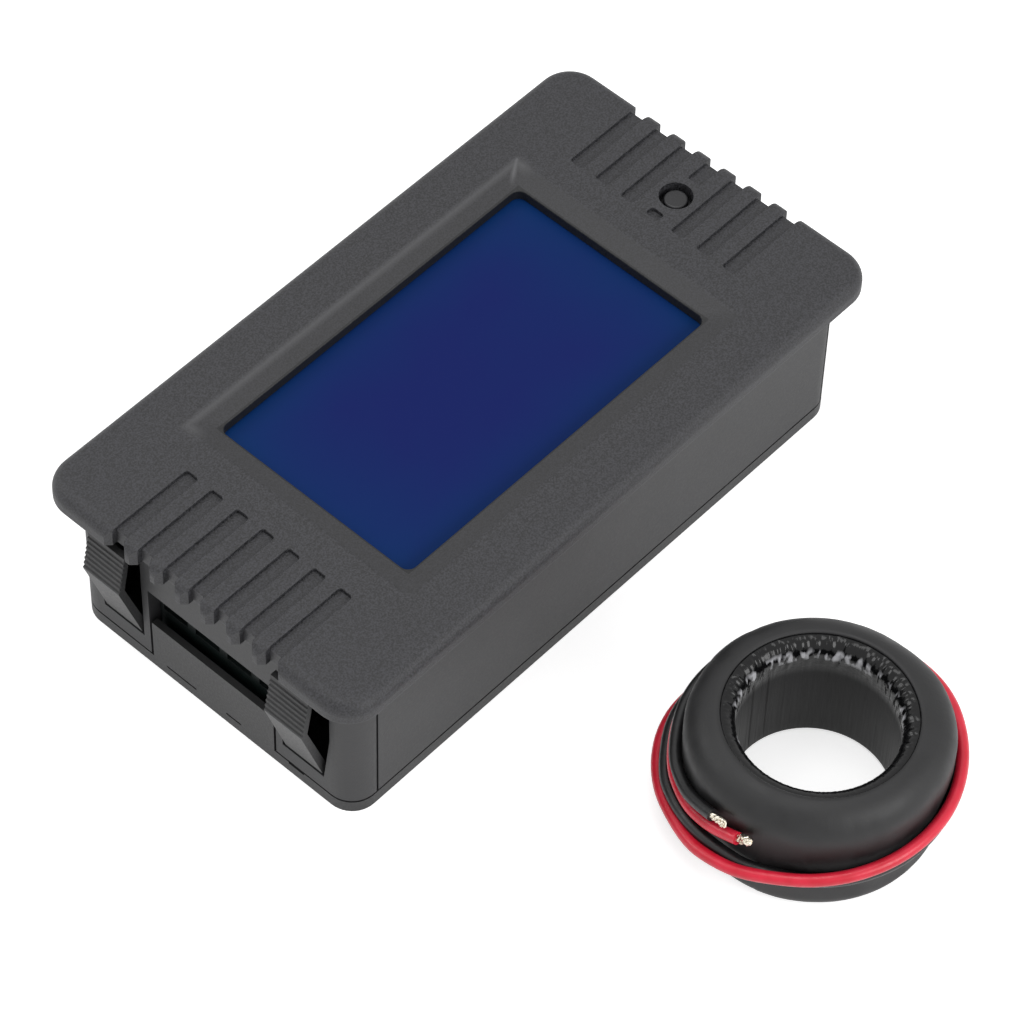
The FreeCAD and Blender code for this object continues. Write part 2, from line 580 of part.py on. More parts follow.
BUTTON_TOP = "Dim.case_height - Dim.button_sink"
RIM_TOP = "%s - Dim.fit_gap" % UNDERSIDE
RIM_LOW = "%s - Dim.button_rim_thick" % RIM_TOP
SWITCH_TOP = "%s - Dim.switch_neck" % RIM_LOW
LID_LOW = "%s - Dim.switch_lid_thick" % SWITCH_TOP
DOME_LOW = "%s + Dim.switch_floor" % BOARD_TOP
FOOT_LOW = "%s + Dim.dome_thick + Dim.button_travel + Dim.fit_gap" % DOME_LOW
FOOT_TOP = "%s - Dim.fit_gap" % LID_LOW


def button_and_switch():
    cap = new_body("button_cap")
    stem = sketch(cap, "Stem", RIM_LOW)
    circle(stem, BUTTON_X, "0", "Dim.button_hole / 2 - Dim.button_gap")
    pad(cap, "StemPad", stem, "%s - (%s)" % (BUTTON_TOP, RIM_LOW))
    fillet(cap, "StemRound", "Dim.button_round", level_edge(BUTTON_TOP))
    rim = sketch(cap, "StemRim", RIM_LOW)
    circle(rim, BUTTON_X, "0", "Dim.button_hole / 2 + Dim.button_rim_over")
    pad(cap, "StemRimPad", rim, "Dim.button_rim_thick")
    keep(cap)

    x0, x1 = "%s - Dim.switch_size / 2" % BUTTON_X, "%s + Dim.switch_size / 2" % BUTTON_X
    y0, y1 = "-Dim.switch_size / 2", "Dim.switch_size / 2"
    shell = block("switch_shell", x0, x1, y0, y1, BOARD_TOP, LID_LOW)
    well = drum("switch_hollow", BUTTON_X, "0", DOME_LOW, SWITCH_TOP, "Dim.switch_well")
    keep(cut("switch_body", shell, [well]))
    plate = block("switch_lid_plate", x0, x1, y0, y1, LID_LOW, SWITCH_TOP)
    eye = drum("switch_lid_eye", BUTTON_X, "0", FOOT_TOP, RIM_LOW,
               "Dim.plunger_size + 2 * Dim.running_gap")
    keep(cut("switch_lid", plate, [eye]))
    keep(drum("switch_dome", BUTTON_X, "0", DOME_LOW, "%s + Dim.dome_thick" % DOME_LOW,
              "Dim.switch_well - 2 * Dim.fit_gap"))
    foot = drum("plunger_disc", BUTTON_X, "0", FOOT_LOW, FOOT_TOP, "Dim.switch_well - 4 * Dim.fit_gap")
    neck = drum("plunger_neck", BUTTON_X, "0", FOOT_LOW, "%s - Dim.running_gap" % RIM_LOW,
                "Dim.plunger_size")
    keep(fuse("switch_plunger", [foot, neck]))


# Display module: polariser film, glass, light guide and its pins

def display_layer(label, margin, z0, z1):
    """Rectangle as large as the glass and a margin round it."""
    length = "Dim.window_length / 2 + Dim.glass_overlap_x + (%s)" % margin
    width = "Dim.window_width / 2 + Dim.glass_overlap_y + (%s)" % margin
    low, high = "-(%s)" % width, width
    return block(label, "-(%s)" % length, length, low, high, z0, z1)


def display_pin(i):
    x = "(%d - (Dim.pin_count - 1) / 2) * Dim.pin_pitch" % i
    y = "Dim.window_width / 2 + Dim.glass_overlap_y + Dim.light_margin + Dim.pin_offset"
    return block("display_pin_%d" % i, "%s - Dim.pin_size / 2" % x, "%s + Dim.pin_size / 2" % x,
                 y, "%s + Dim.pin_size" % y, "%s - Dim.pin_tail" % BOARD_LOW, GLASS_TOP)


def display():
    keep(display_layer("display_film", "-Dim.film_margin", GLASS_TOP, "%s + Dim.film_thick" % GLASS_TOP))
    keep(display_layer("display_glass", "0", GLASS_LOW, GLASS_TOP))
    keep(display_layer("light_guide", "Dim.light_margin", BOARD_TOP, "%s - Dim.running_gap" % GLASS_LOW))
    keep(group("display_pins", [display_pin(i) for i in range(int(value("Dim.pin_count")))]))


# Circuit board with a tongue at each end for the terminals and the push switch

def board():
    body = new_body("circuit_board")
    shape = sketch(body, "BoardOutline", BOARD_LOW)
    reach = "%s - Dim.board_end_gap" % INNER_END
    tongue = "(%s - Dim.tongue_gap)" % SLOT_INNER
    side = "(%s)" % BOARD_SIDE
    right = [(BOARD_END, "-" + side), (BOARD_END, "-" + tongue), (reach, "-" + tongue), (reach, tongue),
             (BOARD_END, tongue), (BOARD_END, side)]
    left = [("-(%s)" % x, y) for x, y in reversed(right)]
    outline(shape, right + left)
    pad(body, "BoardPad", shape, "Dim.board_thick")
    holes = sketch(body, "BoardHoles", BOARD_LOW)
    for end, side in CORNERS:
        circle(holes, "%d * %s" % (end, POST_X), "%d * %s" % (side, POST_Y),
               "Dim.screw_size / 2 + Dim.fit_gap")
    pocket(body, "BoardHoleCuts", holes, "Dim.board_thick", True)
    keep(body)
    keep(group("board_screws", [
        slotted_screw("board_screw_%d" % i, "%d * %s" % (end, POST_X), "%d * %s" % (side, POST_Y),
                      "%s - Dim.screw_head_thick" % BOARD_LOW, BOARD_LOW,
                      "%s + Dim.screw_length" % BOARD_LOW,
                      "Dim.screw_head", "Dim.screw_size", "Dim.screw_slot", "Dim.screw_slot")
        for i, (end, side) in enumerate(CORNERS)]))


# Components soldered under the board

def hung(name, word):
    return "Dim.%s_%s" % (name, word)


def hung_block(label, x, y, length, width, height, stand_off="0"):
    return block(label, "%s - %s / 2" % (x, length), "%s + %s / 2" % (x, length),
                 "%s - %s / 2" % (y, width), "%s + %s / 2" % (y, width),
                 "%s - %s - %s" % (BOARD_LOW, stand_off, height), "%s - %s" % (BOARD_LOW, stand_off))


def plain_component(name):
    return hung_block(name, hung(name, "x"), hung(name, "y"), hung(name, "length"), hung(name, "width"),
                      hung(name, "height"))


def upright_can(name):
    return drum(name, hung(name, "x"), hung(name, "y"), "%s - %s" % (BOARD_LOW, hung(name, "height")),
                BOARD_LOW, hung(name, "length"))


def leaded_chip(name, leads):
    x, y, width = hung(name, "x"), hung(name, "y"), hung(name, "width")
    case = hung_block(name + "_case", x, y, hung(name, "length"), width, hung(name, "height"),
                      "Dim.chip_stand_off")
    parts = [case]
    for side in (-1, 1):
        for i in range(leads):
            lead_x = "%s + %s * Dim.chip_pitch" % (x, i - (leads - 1) / 2)
            lead_y = "%s + %d * (%s / 2 + Dim.chip_lead_reach / 2)" % (y, side, width)
            parts.append(hung_block("%s_lead_%d_%d" % (name, side, i), lead_x, lead_y, "Dim.chip_lead",
                                    "(Dim.chip_lead_reach + Dim.fit_gap)", "Dim.chip_lead_thick"))
    return fuse(name, parts)


def wire_legs(name, spread, top):
    """Two square wires from a component up to the board."""
    x, y = hung(name, "x"), hung(name, "y")
    return [block("%s_leg_%d" % (name, side), "%s + %d * %s - Dim.wire_leg / 2" % (x, side, spread),
                  "%s + %d * %s + Dim.wire_leg / 2" % (x, side, spread), "%s - Dim.wire_leg / 2" % y,
                  "%s + Dim.wire_leg / 2" % y, top, BOARD_LOW) for side in (-1, 1)]


def varistor():
    name = "surge_varistor"
    size, thick = hung(name, "length"), hung(name, "width")
    disc = doc.addObject("Part::Cylinder", "varistor_disc")
    disc.setExpression("Radius", "%s / 2" % size)
    disc.setExpression("Height", thick)
    disc.Placement.Rotation = FreeCAD.Rotation(V(1, 0, 0), 90)
    disc.setExpression("Placement.Base.x", hung(name, "x"))
    disc.setExpression("Placement.Base.y", "%s + %s / 2" % (hung(name, "y"), thick))
    middle = "%s - %s + %s / 2" % (BOARD_LOW, hung(name, "height"), size)
    disc.setExpression("Placement.Base.z", middle)
    return fuse(name, [disc] + wire_legs(name, "Dim.leg_spread / 2", middle))


def dropper():
    name = "dropper_resistor"
    x, length, size = hung(name, "x"), hung(name, "length"), hung(name, "width")
    middle = "%s - %s + %s / 2" % (BOARD_LOW, hung(name, "height"), size)
    barrel = lying_drum(name + "_barrel", "%s - %s / 2" % (x, length), "%s + %s / 2" % (x, length),
                        hung(name, "y"), middle, size)
    return fuse(name, [barrel] + wire_legs(name, "(%s / 2 + Dim.wire_leg / 3)" % length,
                                           "%s - Dim.wire_leg / 2" % middle))


def burdens():
    name = "burden_resistor"
    return group("burden_resistors", [
        hung_block("%s_%d" % (name, i), "%s + %d * Dim.burden_pitch" % (hung(name, "x"), i), hung(name, "y"),
                   hung(name, "length"), hung(name, "width"), hung(name, "height")) for i in (-1, 0, 1)])


def components():
    for name, leads in (("controller_chip", 8), ("metering_chip", 6), ("memory_chip", 4),
                        ("display_driver_chip", 9)):
        keep(leaded_chip(name, leads))
    for name in ("film_capacitor", "crystal"):
        keep(plain_component(name))
    for name in ("smoothing_capacitor_1", "smoothing_capacitor_2"):
        keep(upright_can(name))
    keep(varistor())
    keep(dropper())
    keep(burdens())


# Terminal block: four ways, each with a clamp screw, a rising cage and a fixed contact

BLOCK_X0 = "-(%s) + Dim.fit_gap" % INNER_END
BLOCK_X1 = "%s + Dim.block_depth" % BLOCK_X0
CAGE_X0 = "%s + Dim.cage_inset" % BLOCK_X0
CAGE_X1 = "%s + Dim.cage_depth" % CAGE_X0
CLAMP_X = "%s + Dim.cage_depth / 2" % CAGE_X0
HEAD_LOW = "%s + Dim.clamp_head_sink" % BLOCK_LOW
HEAD_TOP = "%s + Dim.clamp_head_thick" % HEAD_LOW
HEAD_SEAT = "%s + Dim.running_gap" % HEAD_TOP
BAR_X1 = "%s + Dim.contact_reach" % CAGE_X1


def way(i):
    return "(%d - 1.5) * Dim.way_pitch" % i


def strip(label, x0, x1, y, width, z0, z1):
    """Block whose width is centred on y."""
    return block(label, x0, x1, "%s - (%s) / 2" % (y, width), "%s + (%s) / 2" % (y, width), z0, z1)


def way_cuts(i):
    y = way(i)
    return [
        strip("wire_hole_%d" % i, "%s - 1" % BLOCK_X0, "%s + Dim.cage_gap" % CAGE_X0, y,
              "Dim.wire_hole_width", "%s + Dim.contact_thick + Dim.running_gap" % CONTACT_LEVEL,
              "%s - Dim.cage_wall - Dim.fit_gap" % CAGE_HIGH),
        strip("cage_well_%d" % i, "%s - Dim.cage_gap" % CAGE_X0, "%s + Dim.cage_gap" % CAGE_X1, y,
              "Dim.cage_width + 2 * Dim.cage_gap", "%s + Dim.clamp_shoulder" % HEAD_SEAT,
              "%s + Dim.cage_gap" % CAGE_HIGH),
        drum("head_bore_%d" % i, CLAMP_X, y, "%s - 1" % BLOCK_LOW, HEAD_SEAT,
             "Dim.clamp_head + 2 * Dim.fit_gap"),
        drum("shank_hole_%d" % i, CLAMP_X, y, BLOCK_LOW, CAGE_LOW, "Dim.clamp_screw + 2 * Dim.fit_gap"),
        strip("contact_way_%d" % i, CAGE_X1, "%s + Dim.fit_gap" % BAR_X1, y,
              "Dim.contact_width + 2 * Dim.fit_gap", "%s - Dim.fit_gap" % CONTACT_LEVEL,
              "%s + 1" % BOARD_LOW)]


def contact(i):
    y = way(i)
    bar = strip("contact_bar_%d" % i, CAGE_X0, BAR_X1, y, "Dim.contact_width", CONTACT_LEVEL,
                "%s + Dim.contact_thick" % CONTACT_LEVEL)
    leg = strip("contact_leg_%d" % i, "%s - Dim.leg_thick" % BAR_X1, BAR_X1, y, "Dim.leg_width",
                CONTACT_LEVEL, "%s + Dim.leg_tail" % BOARD_TOP)
    return fuse("contact_%d" % i, [bar, leg])


def cage(i):
    y = way(i)
    shell = strip("cage_blank_%d" % i, CAGE_X0, CAGE_X1, y, "Dim.cage_width", CAGE_LOW, CAGE_HIGH)
    mouth = strip("cage_mouth_%d" % i, "%s - 1" % CAGE_X0, "%s + 1" % CAGE_X1, y,
                  "Dim.cage_width - 2 * Dim.cage_wall", "%s + Dim.cage_wall" % CAGE_LOW,
                  "%s - Dim.cage_wall" % CAGE_HIGH)
    eye = drum("cage_eye_%d" % i, CLAMP_X, y, "%s - 1" % CAGE_LOW, "%s + 1.5 * Dim.cage_wall" % CAGE_LOW,
               "Dim.clamp_screw + 2 * Dim.running_gap")
    return cut("clamp_cage_%d" % (i + 1), shell, [mouth, eye])


def terminals():
    body = block("terminal_body", BLOCK_X0, BLOCK_X1, "-2 * Dim.way_pitch", "2 * Dim.way_pitch",
                 BLOCK_LOW, BOARD_LOW)
    keep(cut("terminal_block", body, [tool for i in range(WAYS) for tool in way_cuts(i)]))
    keep(group("terminal_contacts", [contact(i) for i in range(WAYS)]))
    for i in range(WAYS):
        keep(cage(i))
        keep(slotted_screw("clamp_screw_%d" % (i + 1), CLAMP_X, way(i), HEAD_LOW, HEAD_TOP,
                           "%s - Dim.fit_gap" % CONTACT_LEVEL, "Dim.clamp_head", "Dim.clamp_screw",
                           "Dim.clamp_slot", "Dim.clamp_slot_depth"))


# Ring current sensor: core, winding, tape round the outside, tape sleeve in the bore

def ring_body(label, points):
    body = new_body(label)
    section = sketch(body, label + "_section", "0", "XZ_Plane")
    outline(section, points)
    revolve(body, label + "_turn", section)
    return body


def place_ring(body):
    body.setExpression("Placement.Base.x", "Dim.ring_x")
    body.setExpression("Placement.Base.y", "Dim.ring_y")
    return body


def ring_sensor():
    top, rim, outer, tape = "Dim.ring_height", "Dim.ring_rim", "Dim.ring_outer", "Dim.tape_thick"
    shoulder = "Dim.ring_outer - Dim.ring_rim - Dim.fit_gap"
    wrap = ring_body("outer_tape", [
        (rim, "0"), (outer, "0"), (outer, top), (rim, top), (rim, "%s - %s" % (top, tape)),
        ("%s - %s" % (outer, tape), "%s - %s" % (top, tape)), ("%s - %s" % (outer, tape), tape),
        (rim, tape)])
    fillet(wrap, "OuterShoulder", shoulder, ring_edge(outer, top))
    fillet(wrap, "InnerShoulder", "%s - %s" % (shoulder, tape),
           ring_edge("%s - %s" % (outer, tape), "%s - %s" % (top, tape)))
    fillet(wrap, "OuterFoot", "Dim.ring_foot", ring_edge(outer, "0"))
    fillet(wrap, "InnerFoot", "Dim.ring_foot - %s" % tape, ring_edge("%s - %s" % (outer, tape), tape))
    keep(place_ring(wrap))

    bore, flare, edge = "Dim.ring_bore", "Dim.ring_flare", "Dim.ring_rim - Dim.running_gap"
    skin = "Dim.ring_bore + %s" % tape
    sleeve = ring_body("bore_tape", [
        (bore, flare), (edge, "Dim.fit_gap"), (edge, "%s + Dim.fit_gap" % tape),
        (skin, "%s + %s / 2" % (flare, tape)), (skin, "%s - %s - %s / 2" % (top, flare, tape)),
        (edge, "%s - %s - Dim.fit_gap" % (top, tape)), (edge, "%s - Dim.fit_gap" % top),
        (bore, "%s - %s" % (top, flare))])
    keep(place_ring(sleeve))

    near = "%s + Dim.fit_gap" % skin
    slack = "2 * Dim.fit_gap"
    far = "%s - %s - %s" % (outer, tape, slack)
    low, high = "%s + %s" % (tape, slack), "%s - %s - %s" % (top, tape, slack)
    inset = "%s + 3 * Dim.fit_gap" % rim
    coil = ring_body("sensor_winding", [
        (near, "%s + 5 * Dim.fit_gap" % flare), (inset, low), (far, low), (far, high),
        (inset, high), (near, "%s - %s - 5 * Dim.fit_gap" % (top, flare))])
    fillet(coil, "WindingShoulder", "%s - %s - 5 * Dim.fit_gap" % (shoulder, tape), ring_edge(far, high))
    fillet(coil, "WindingFoot", "Dim.ring_foot - %s - 3 * Dim.fit_gap" % tape, ring_edge(far, low))
    hollow = sketch(coil, "CoreHollow", "0", "XZ_Plane")
    rectangle(hollow, "Dim.core_inner - Dim.fit_gap", "Dim.core_outer + Dim.fit_gap",
              "Dim.core_margin - Dim.fit_gap", "%s - Dim.core_margin + Dim.fit_gap" % top)
    groove = coil.newObject("PartDesign::Groove", "CoreGroove")
    groove.Profile = hollow
    groove.ReferenceAxis = (hollow, ["V_Axis"])
    groove.Angle = 360.0
    doc.recompute()
    keep(place_ring(coil))
    core = ring_body("sensor_core", [
        ("Dim.core_inner", "Dim.core_margin"), ("Dim.core_outer", "Dim.core_margin"),
        ("Dim.core_outer", "%s - Dim.core_margin" % top), ("Dim.core_inner", "%s - Dim.core_margin" % top)])
    keep(place_ring(core))

    patch = new_body("lead_patch")
    section = sketch(patch, "PatchSection", "0", "XZ_Plane")
    seat = "%s + Dim.running_gap" % outer
    rectangle(section, seat, "%s + Dim.patch_thick" % seat, "Dim.patch_low", "Dim.patch_high")
    sweep = patch.newObject("PartDesign::Revolution", "PatchTurn")
    sweep.Profile = section
    sweep.ReferenceAxis = (section, ["V_Axis"])
    sweep.setExpression("Angle", "Dim.patch_end - Dim.patch_start")
    doc.recompute()
    patch.Placement.Rotation = FreeCAD.Rotation(V(0, 0, 1), value("Dim.patch_start"))
    keep(place_ring(patch))


# Leads: tubes wound round the ring's side. A station is (degrees round the ring, how far the
# tube stands clear of the tape, height of its middle above the table).

RED_ROUTE = [(48, 0.25, 3.0), (90, 2.55, 4.0), (134, 1.95, 4.6), (155, 1.75, 5.2), (171, 1.75, 6.2),
             (193, 1.65, 7.6), (226, 1.25, 9.1), (255, 1.15, 9.7), (285, 1.15, 9.8), (311, 1.15, 9.8),
             (340, 1.75, 9.2), (360, 2.05, 8.8), (384, 1.45, 8.3), (408, 0.75, 8.0), (450, 0.35, 7.9),
             (494, 0.15, 7.9), (515, 0.15, 8.1), (525, 0.15, 8.9), (536, 0.15, 10.0), (546, 0.15, 11.0)]
BLACK_ROUTE = [(48, 0.25, 5.1), (90, 1.45, 5.9), (134, 0.75, 6.25), (155, 0.4, 6.4), (171, 0.15, 6.7),
               (193, 0.12, 6.8), (226, 0.12, 7.7), (255, 0.12, 8.3), (285, 0.12, 8.4),
               (311, 0.12, 8.4), (340, 0.12, 8.3), (360, 0.12, 8.6), (384, 0.25, 9.6), (408, 0.15, 9.9),
               (450, 0.15, 9.7), (494, 0.12, 9.6), (515, 0.12, 9.9), (531, 0.12, 11.65)]


def blend(route, angle):
    """Clearance and height at an angle, on a smooth curve through the stations."""
    def rate(k, item):
        return (route[k + 1][item] - route[k][item]) / (route[k + 1][0] - route[k][0])

    def slope(k, item):
        if k == 0:
            return 0.0
        if k == len(route) - 1:
            return rate(k - 1, item)
        before, after = rate(k - 1, item), rate(k, item)
        return 2 * before * after / (before + after) if before * after > 0 else 0.0

    k = 0
    while k < len(route) - 2 and angle > route[k + 1][0]:
        k += 1
    span = route[k + 1][0] - route[k][0]
    u = (angle - route[k][0]) / span
    result = []
    for item in (1, 2):
        a, b = route[k][item], route[k + 1][item]
        da, db = slope(k, item) * span, slope(k + 1, item) * span
        result.append(a * (2 * u**3 - 3 * u**2 + 1) + da * (u**3 - 2 * u**2 + u)
                      + b * (-2 * u**3 + 3 * u**2) + db * (u**3 - u**2))
    return result


def lead_point(route, angle):
    clear, height = blend(route, angle)
    radius = value("Dim.ring_outer + Dim.lead_size / 2") + clear
    turn = math.radians(angle)
    return V(radius * math.cos(turn), radius * math.sin(turn), height)


def lead_direction(route, angle):
    step = 0.05
    ahead = lead_point(route, min(angle + step, route[-1][0]))
    behind = lead_point(route, max(angle - step, route[0][0]))
    return (ahead - behind).normalize()


def arc_through(start, direction, end):
    chord = end - start
    along = V(chord).normalize()
    bow = direction - along * direction.dot(along)
    turn = math.atan2(bow.Length, direction.dot(along))
    if bow.Length < 1e-6:
        return Part.LineSegment(start, end).toShape()
    middle = (start + end) * 0.5 + V(bow).normalize() * (chord.Length / 2 * math.tan(turn / 2))
    return Part.Arc(start, middle, end).toShape()


def biarc(start, start_way, end, end_way):
    """Two arcs that leave start and reach end along the given ways, tangent where they meet."""
    gap = end - start
    both = start_way + end_way
    spread = 2 * (1 - start_way.dot(end_way))
    reach = (math.sqrt(gap.dot(both)**2 + spread * gap.dot(gap)) - gap.dot(both)) / spread
    meet = (start + start_way * reach + end - end_way * reach) * 0.5
    first = arc_through(start, start_way, meet)
    second = arc_through(end, end_way * -1, meet)
    return [first, second]


def lead(label, route):
    first, last = route[0][0], route[-1][0]
    steps = int(math.ceil((last - first) / TURN_STEP))
    stations = [first + (last - first) * i / steps for i in range(steps + 1)]
    points = [lead_point(route, angle) for angle in stations]
    ways = [lead_direction(route, angle) for angle in stations]
    start, straight = points[0], value("Dim.lead_size")
    points[0] = start + ways[0] * straight
    end = points[-1] + ways[-1] * straight
    edges = [Part.LineSegment(start, points[0]).toShape()]
    for i in range(steps):
        edges += biarc(points[i], ways[i], points[i + 1], ways[i + 1])
    edges.append(Part.LineSegment(points[-1], end).toShape())
    path = Part.Wire(Part.__sortEdges__(edges))
    radius = value("Dim.lead_size") / 2
    ring = Part.Wire(Part.makeCircle(radius, start, ways[0]))
    tube = path.makePipeShell([ring], True, False)
    made = doc.addObject("Part::Feature", label)
    made.Label = label
    made.Shape = tube
    made.Placement = FreeCAD.Placement(V(value("Dim.ring_x"), value("Dim.ring_y"), 0), FreeCAD.Rotation())
    keep(made)

    fine = path.discretize(Number=SAMPLES)
    apart = min((fine[i] - fine[j]).Length for i in range(SAMPLES) for j in range(i + SAMPLES // 3, SAMPLES))
    tightest = min(edge.Curve.Radius for edge in edges if hasattr(edge.Curve, "Radius"))
    print("%s: length %.1f, least gap to itself %.2f, tightest bend %.2f, volume over section x length %.4f"
          % (label, path.Length, apart - 2 * radius, tightest,
             tube.Volume / (math.pi * radius**2 * path.Length)))

    tip = doc.addObject("Part::Feature", label + "_strands")
    tip.Label = label + "_strands"
    tip.Shape = Part.makeCylinder(value("Dim.strand_size") / 2, value("Dim.strand_length"), end, ways[-1])
    tip.Placement = made.Placement
    keep(tip)


# Build

keep(front_case())
keep(back_cover())
for number, (end, side) in enumerate(CORNERS, 1):
    keep(snap_clip("snap_clip_%d" % number, end, side))
button_and_switch()
display()
board()
components()
terminals()
ring_sensor()
lead("red_lead", RED_ROUTE)
lead("black_lead", BLACK_ROUTE)
doc.recompute()

for item in doc.Objects:
    if "Invalid" in item.State or "Error" in item.State:
        raise RuntimeError("%s failed: %s" % (item.Label, item.State))
os.makedirs("parts", exist_ok=True)
for sub_part in nodes:
    shape = sub_part.Shape
    if shape.isNull() or not shape.isValid() or not shape.Solids:
        raise RuntimeError("%s has no valid solid" % sub_part.Label)
    shape.exportStep("parts/%s.step" % sub_part.Label)
print("%d nodes" % len(nodes))
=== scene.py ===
"""AC power meter and its ring current sensor: finishes for every piece, leads, and wrinkled tape."""

import math
import random

import bmesh
import bpy
from mathutils import Matrix, Vector


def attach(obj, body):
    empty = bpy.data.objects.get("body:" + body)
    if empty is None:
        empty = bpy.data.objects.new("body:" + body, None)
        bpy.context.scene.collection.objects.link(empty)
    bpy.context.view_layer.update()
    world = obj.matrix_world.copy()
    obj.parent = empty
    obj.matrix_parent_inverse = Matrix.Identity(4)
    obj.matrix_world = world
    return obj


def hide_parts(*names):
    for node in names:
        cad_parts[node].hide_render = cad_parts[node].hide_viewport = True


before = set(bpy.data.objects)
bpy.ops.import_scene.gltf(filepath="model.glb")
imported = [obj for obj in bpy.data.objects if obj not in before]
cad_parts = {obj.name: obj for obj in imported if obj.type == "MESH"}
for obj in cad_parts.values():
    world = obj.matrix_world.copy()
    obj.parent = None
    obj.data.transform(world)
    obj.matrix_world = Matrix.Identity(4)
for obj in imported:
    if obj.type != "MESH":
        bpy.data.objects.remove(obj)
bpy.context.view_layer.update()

MM = 0.001
RING = Vector((-4.04, -57.76, 0.0)) * MM      # middle of the ring's foot on the table
RING_OUTER = 15.1                             # the ring's sizes are in millimetres
RING_HEIGHT = 16.8
RING_RIM = 11.2
RING_BORE = 9.4
TAPE_THICK = 0.6
LEAD_SIZE = 1.5
FULL_TURN = 2 * math.pi


# Camera: it stood at the wire-window end and looked down on the face

CAMERA_SPOT = Vector((-251.48, -227.13, 441.042)) * MM
CAMERA_TURN, CAMERA_TILT, CAMERA_LEAN = -48.91, 52.58, 1.87     # degrees
SENSOR_WIDTH, FOCAL_LENGTH = 36.0, 164.0                        # millimetres


def aim_camera():
    turn, tilt, lean = (math.radians(angle) for angle in (CAMERA_TURN, CAMERA_TILT, CAMERA_LEAN))
    back = Vector((math.sin(turn) * math.cos(tilt), -math.cos(turn) * math.cos(tilt), math.sin(tilt)))
    level = (-back).cross(Vector((0, 0, 1))).normalized()
    above = level.cross(-back)
    right = math.cos(lean) * level + math.sin(lean) * above
    up = math.cos(lean) * above - math.sin(lean) * level
    lens = bpy.data.cameras.new("camera")
    lens.sensor_width = SENSOR_WIDTH
    lens.lens = FOCAL_LENGTH
    camera = bpy.data.objects.new("camera", lens)
    camera.matrix_world = Matrix((right, up, back)).transposed().to_4x4()
    camera.location = CAMERA_SPOT
    bpy.context.scene.collection.objects.link(camera)
    bpy.context.scene.camera = camera


aim_camera()


# Tools for materials and meshes

# A Mix node's sockets, by number because those for numbers and for colours share their names
FACTOR, NUMBER_A, NUMBER_B, COLOUR_A, COLOUR_B = 0, 2, 3, 6, 7
COLOUR_MIX = {"output": 2, "data_type": "RGBA"}
# The parts of a noise's range that a Map Range spreads out to all of 0 to 1, or to its own ends
WIDE = {"From Min": 0.3, "From Max": 0.7}
NARROW = {"From Min": 0.35, "From Max": 0.65}


def linear(code):
    """An sRGB hex colour as linear red, green, blue and alpha."""
    parts = [int(code[i:i + 2], 16) / 255 for i in (0, 2, 4)]
    return tuple(p / 12.92 if p <= 0.04045 else ((p + 0.055) / 1.055) ** 2.4 for p in parts) + (1.0,)


def add(tree, kind, inputs=None, output=0, **settings):
    """One node with its settings, and its inputs as values or other nodes' outputs; gives an output."""
    node = tree.nodes.new(kind)
    for name, value in settings.items():
        setattr(node, name, value)
    for name, value in (inputs or {}).items():
        if isinstance(value, bpy.types.NodeSocket):
            tree.links.new(value, node.inputs[name])
        else:
            node.inputs[name].default_value = value
    return node.outputs[output]


def start(name, **sockets):
    """A new material: its tree, its main shader with sockets set, and where each point lies."""
    material = bpy.data.materials.new(name)
    material.use_nodes = True
    tree = material.node_tree
    shader = tree.nodes["Principled BSDF"]
    for key, value in sockets.items():
        shader.inputs[key.replace("_", " ")].default_value = value
    return material, tree, shader, add(tree, "ShaderNodeTexCoord", output="Object")


def link(tree, shader, **outputs):
    for name, output in outputs.items():
        tree.links.new(output, shader.inputs[name.replace("_", " ")])


def moulded(name, dark, light, rough, grain, depth, flow=6.0, **sockets):
    """Injection-moulded plastic: grain from the tool, and faint clouds where the melt flowed, in mm."""
    material, tree, shader, where = start(name, **sockets)
    clouds = add(tree, "ShaderNodeTexNoise", {"Vector": where, "Scale": 1 / (flow * MM), "Detail": 3.0})
    tone = add(tree, "ShaderNodeMapRange", {"Value": clouds, **WIDE})
    fine = add(tree, "ShaderNodeTexNoise", {"Vector": where, "Scale": 1 / (grain * MM), "Detail": 2.0})
    link(tree, shader,
         Base_Color=add(tree, "ShaderNodeMix",
                        {FACTOR: tone, COLOUR_A: linear(dark), COLOUR_B: linear(light)}, **COLOUR_MIX),
         Roughness=add(tree, "ShaderNodeMapRange",
                       {"Value": fine, **WIDE, "To Min": rough - 0.05, "To Max": rough + 0.07}),
         Normal=add(tree, "ShaderNodeBump", {"Height": fine, "Distance": depth * MM}))
    return material


def worked(name, dark, light, rough, stretch, depth, grain):
    """Metal with marks drawn out along the way it was rolled, turned or pressed, in mm."""
    material, tree, shader, where = start(name, Metallic=1.0)
    drawn = add(tree, "ShaderNodeMapping", {"Vector": where, "Scale": stretch})
    marks = add(tree, "ShaderNodeTexNoise", {"Vector": drawn, "Scale": 1 / (grain * MM), "Detail": 4.0})
    clouds = add(tree, "ShaderNodeTexNoise", {"Vector": where, "Scale": 1 / (1.5 * MM), "Detail": 3.0})
    tone = add(tree, "ShaderNodeMapRange", {"Value": clouds, **WIDE})
    link(tree, shader,
         Base_Color=add(tree, "ShaderNodeMix",
                        {FACTOR: tone, COLOUR_A: linear(dark), COLOUR_B: linear(light)}, **COLOUR_MIX),
         Roughness=add(tree, "ShaderNodeMapRange",
                       {"Value": marks, **WIDE, "To Min": rough - 0.08, "To Max": rough + 0.1}),
         Normal=add(tree, "ShaderNodeBump", {"Height": marks, "Distance": depth * MM}))
    return material


def wear(node, *materials):
    """The finish or finishes of a CAD node or a piece."""
    mesh = (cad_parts[node] if isinstance(node, str) else node).data
    mesh.materials.clear()
    for material in materials:
        mesh.materials.append(material)


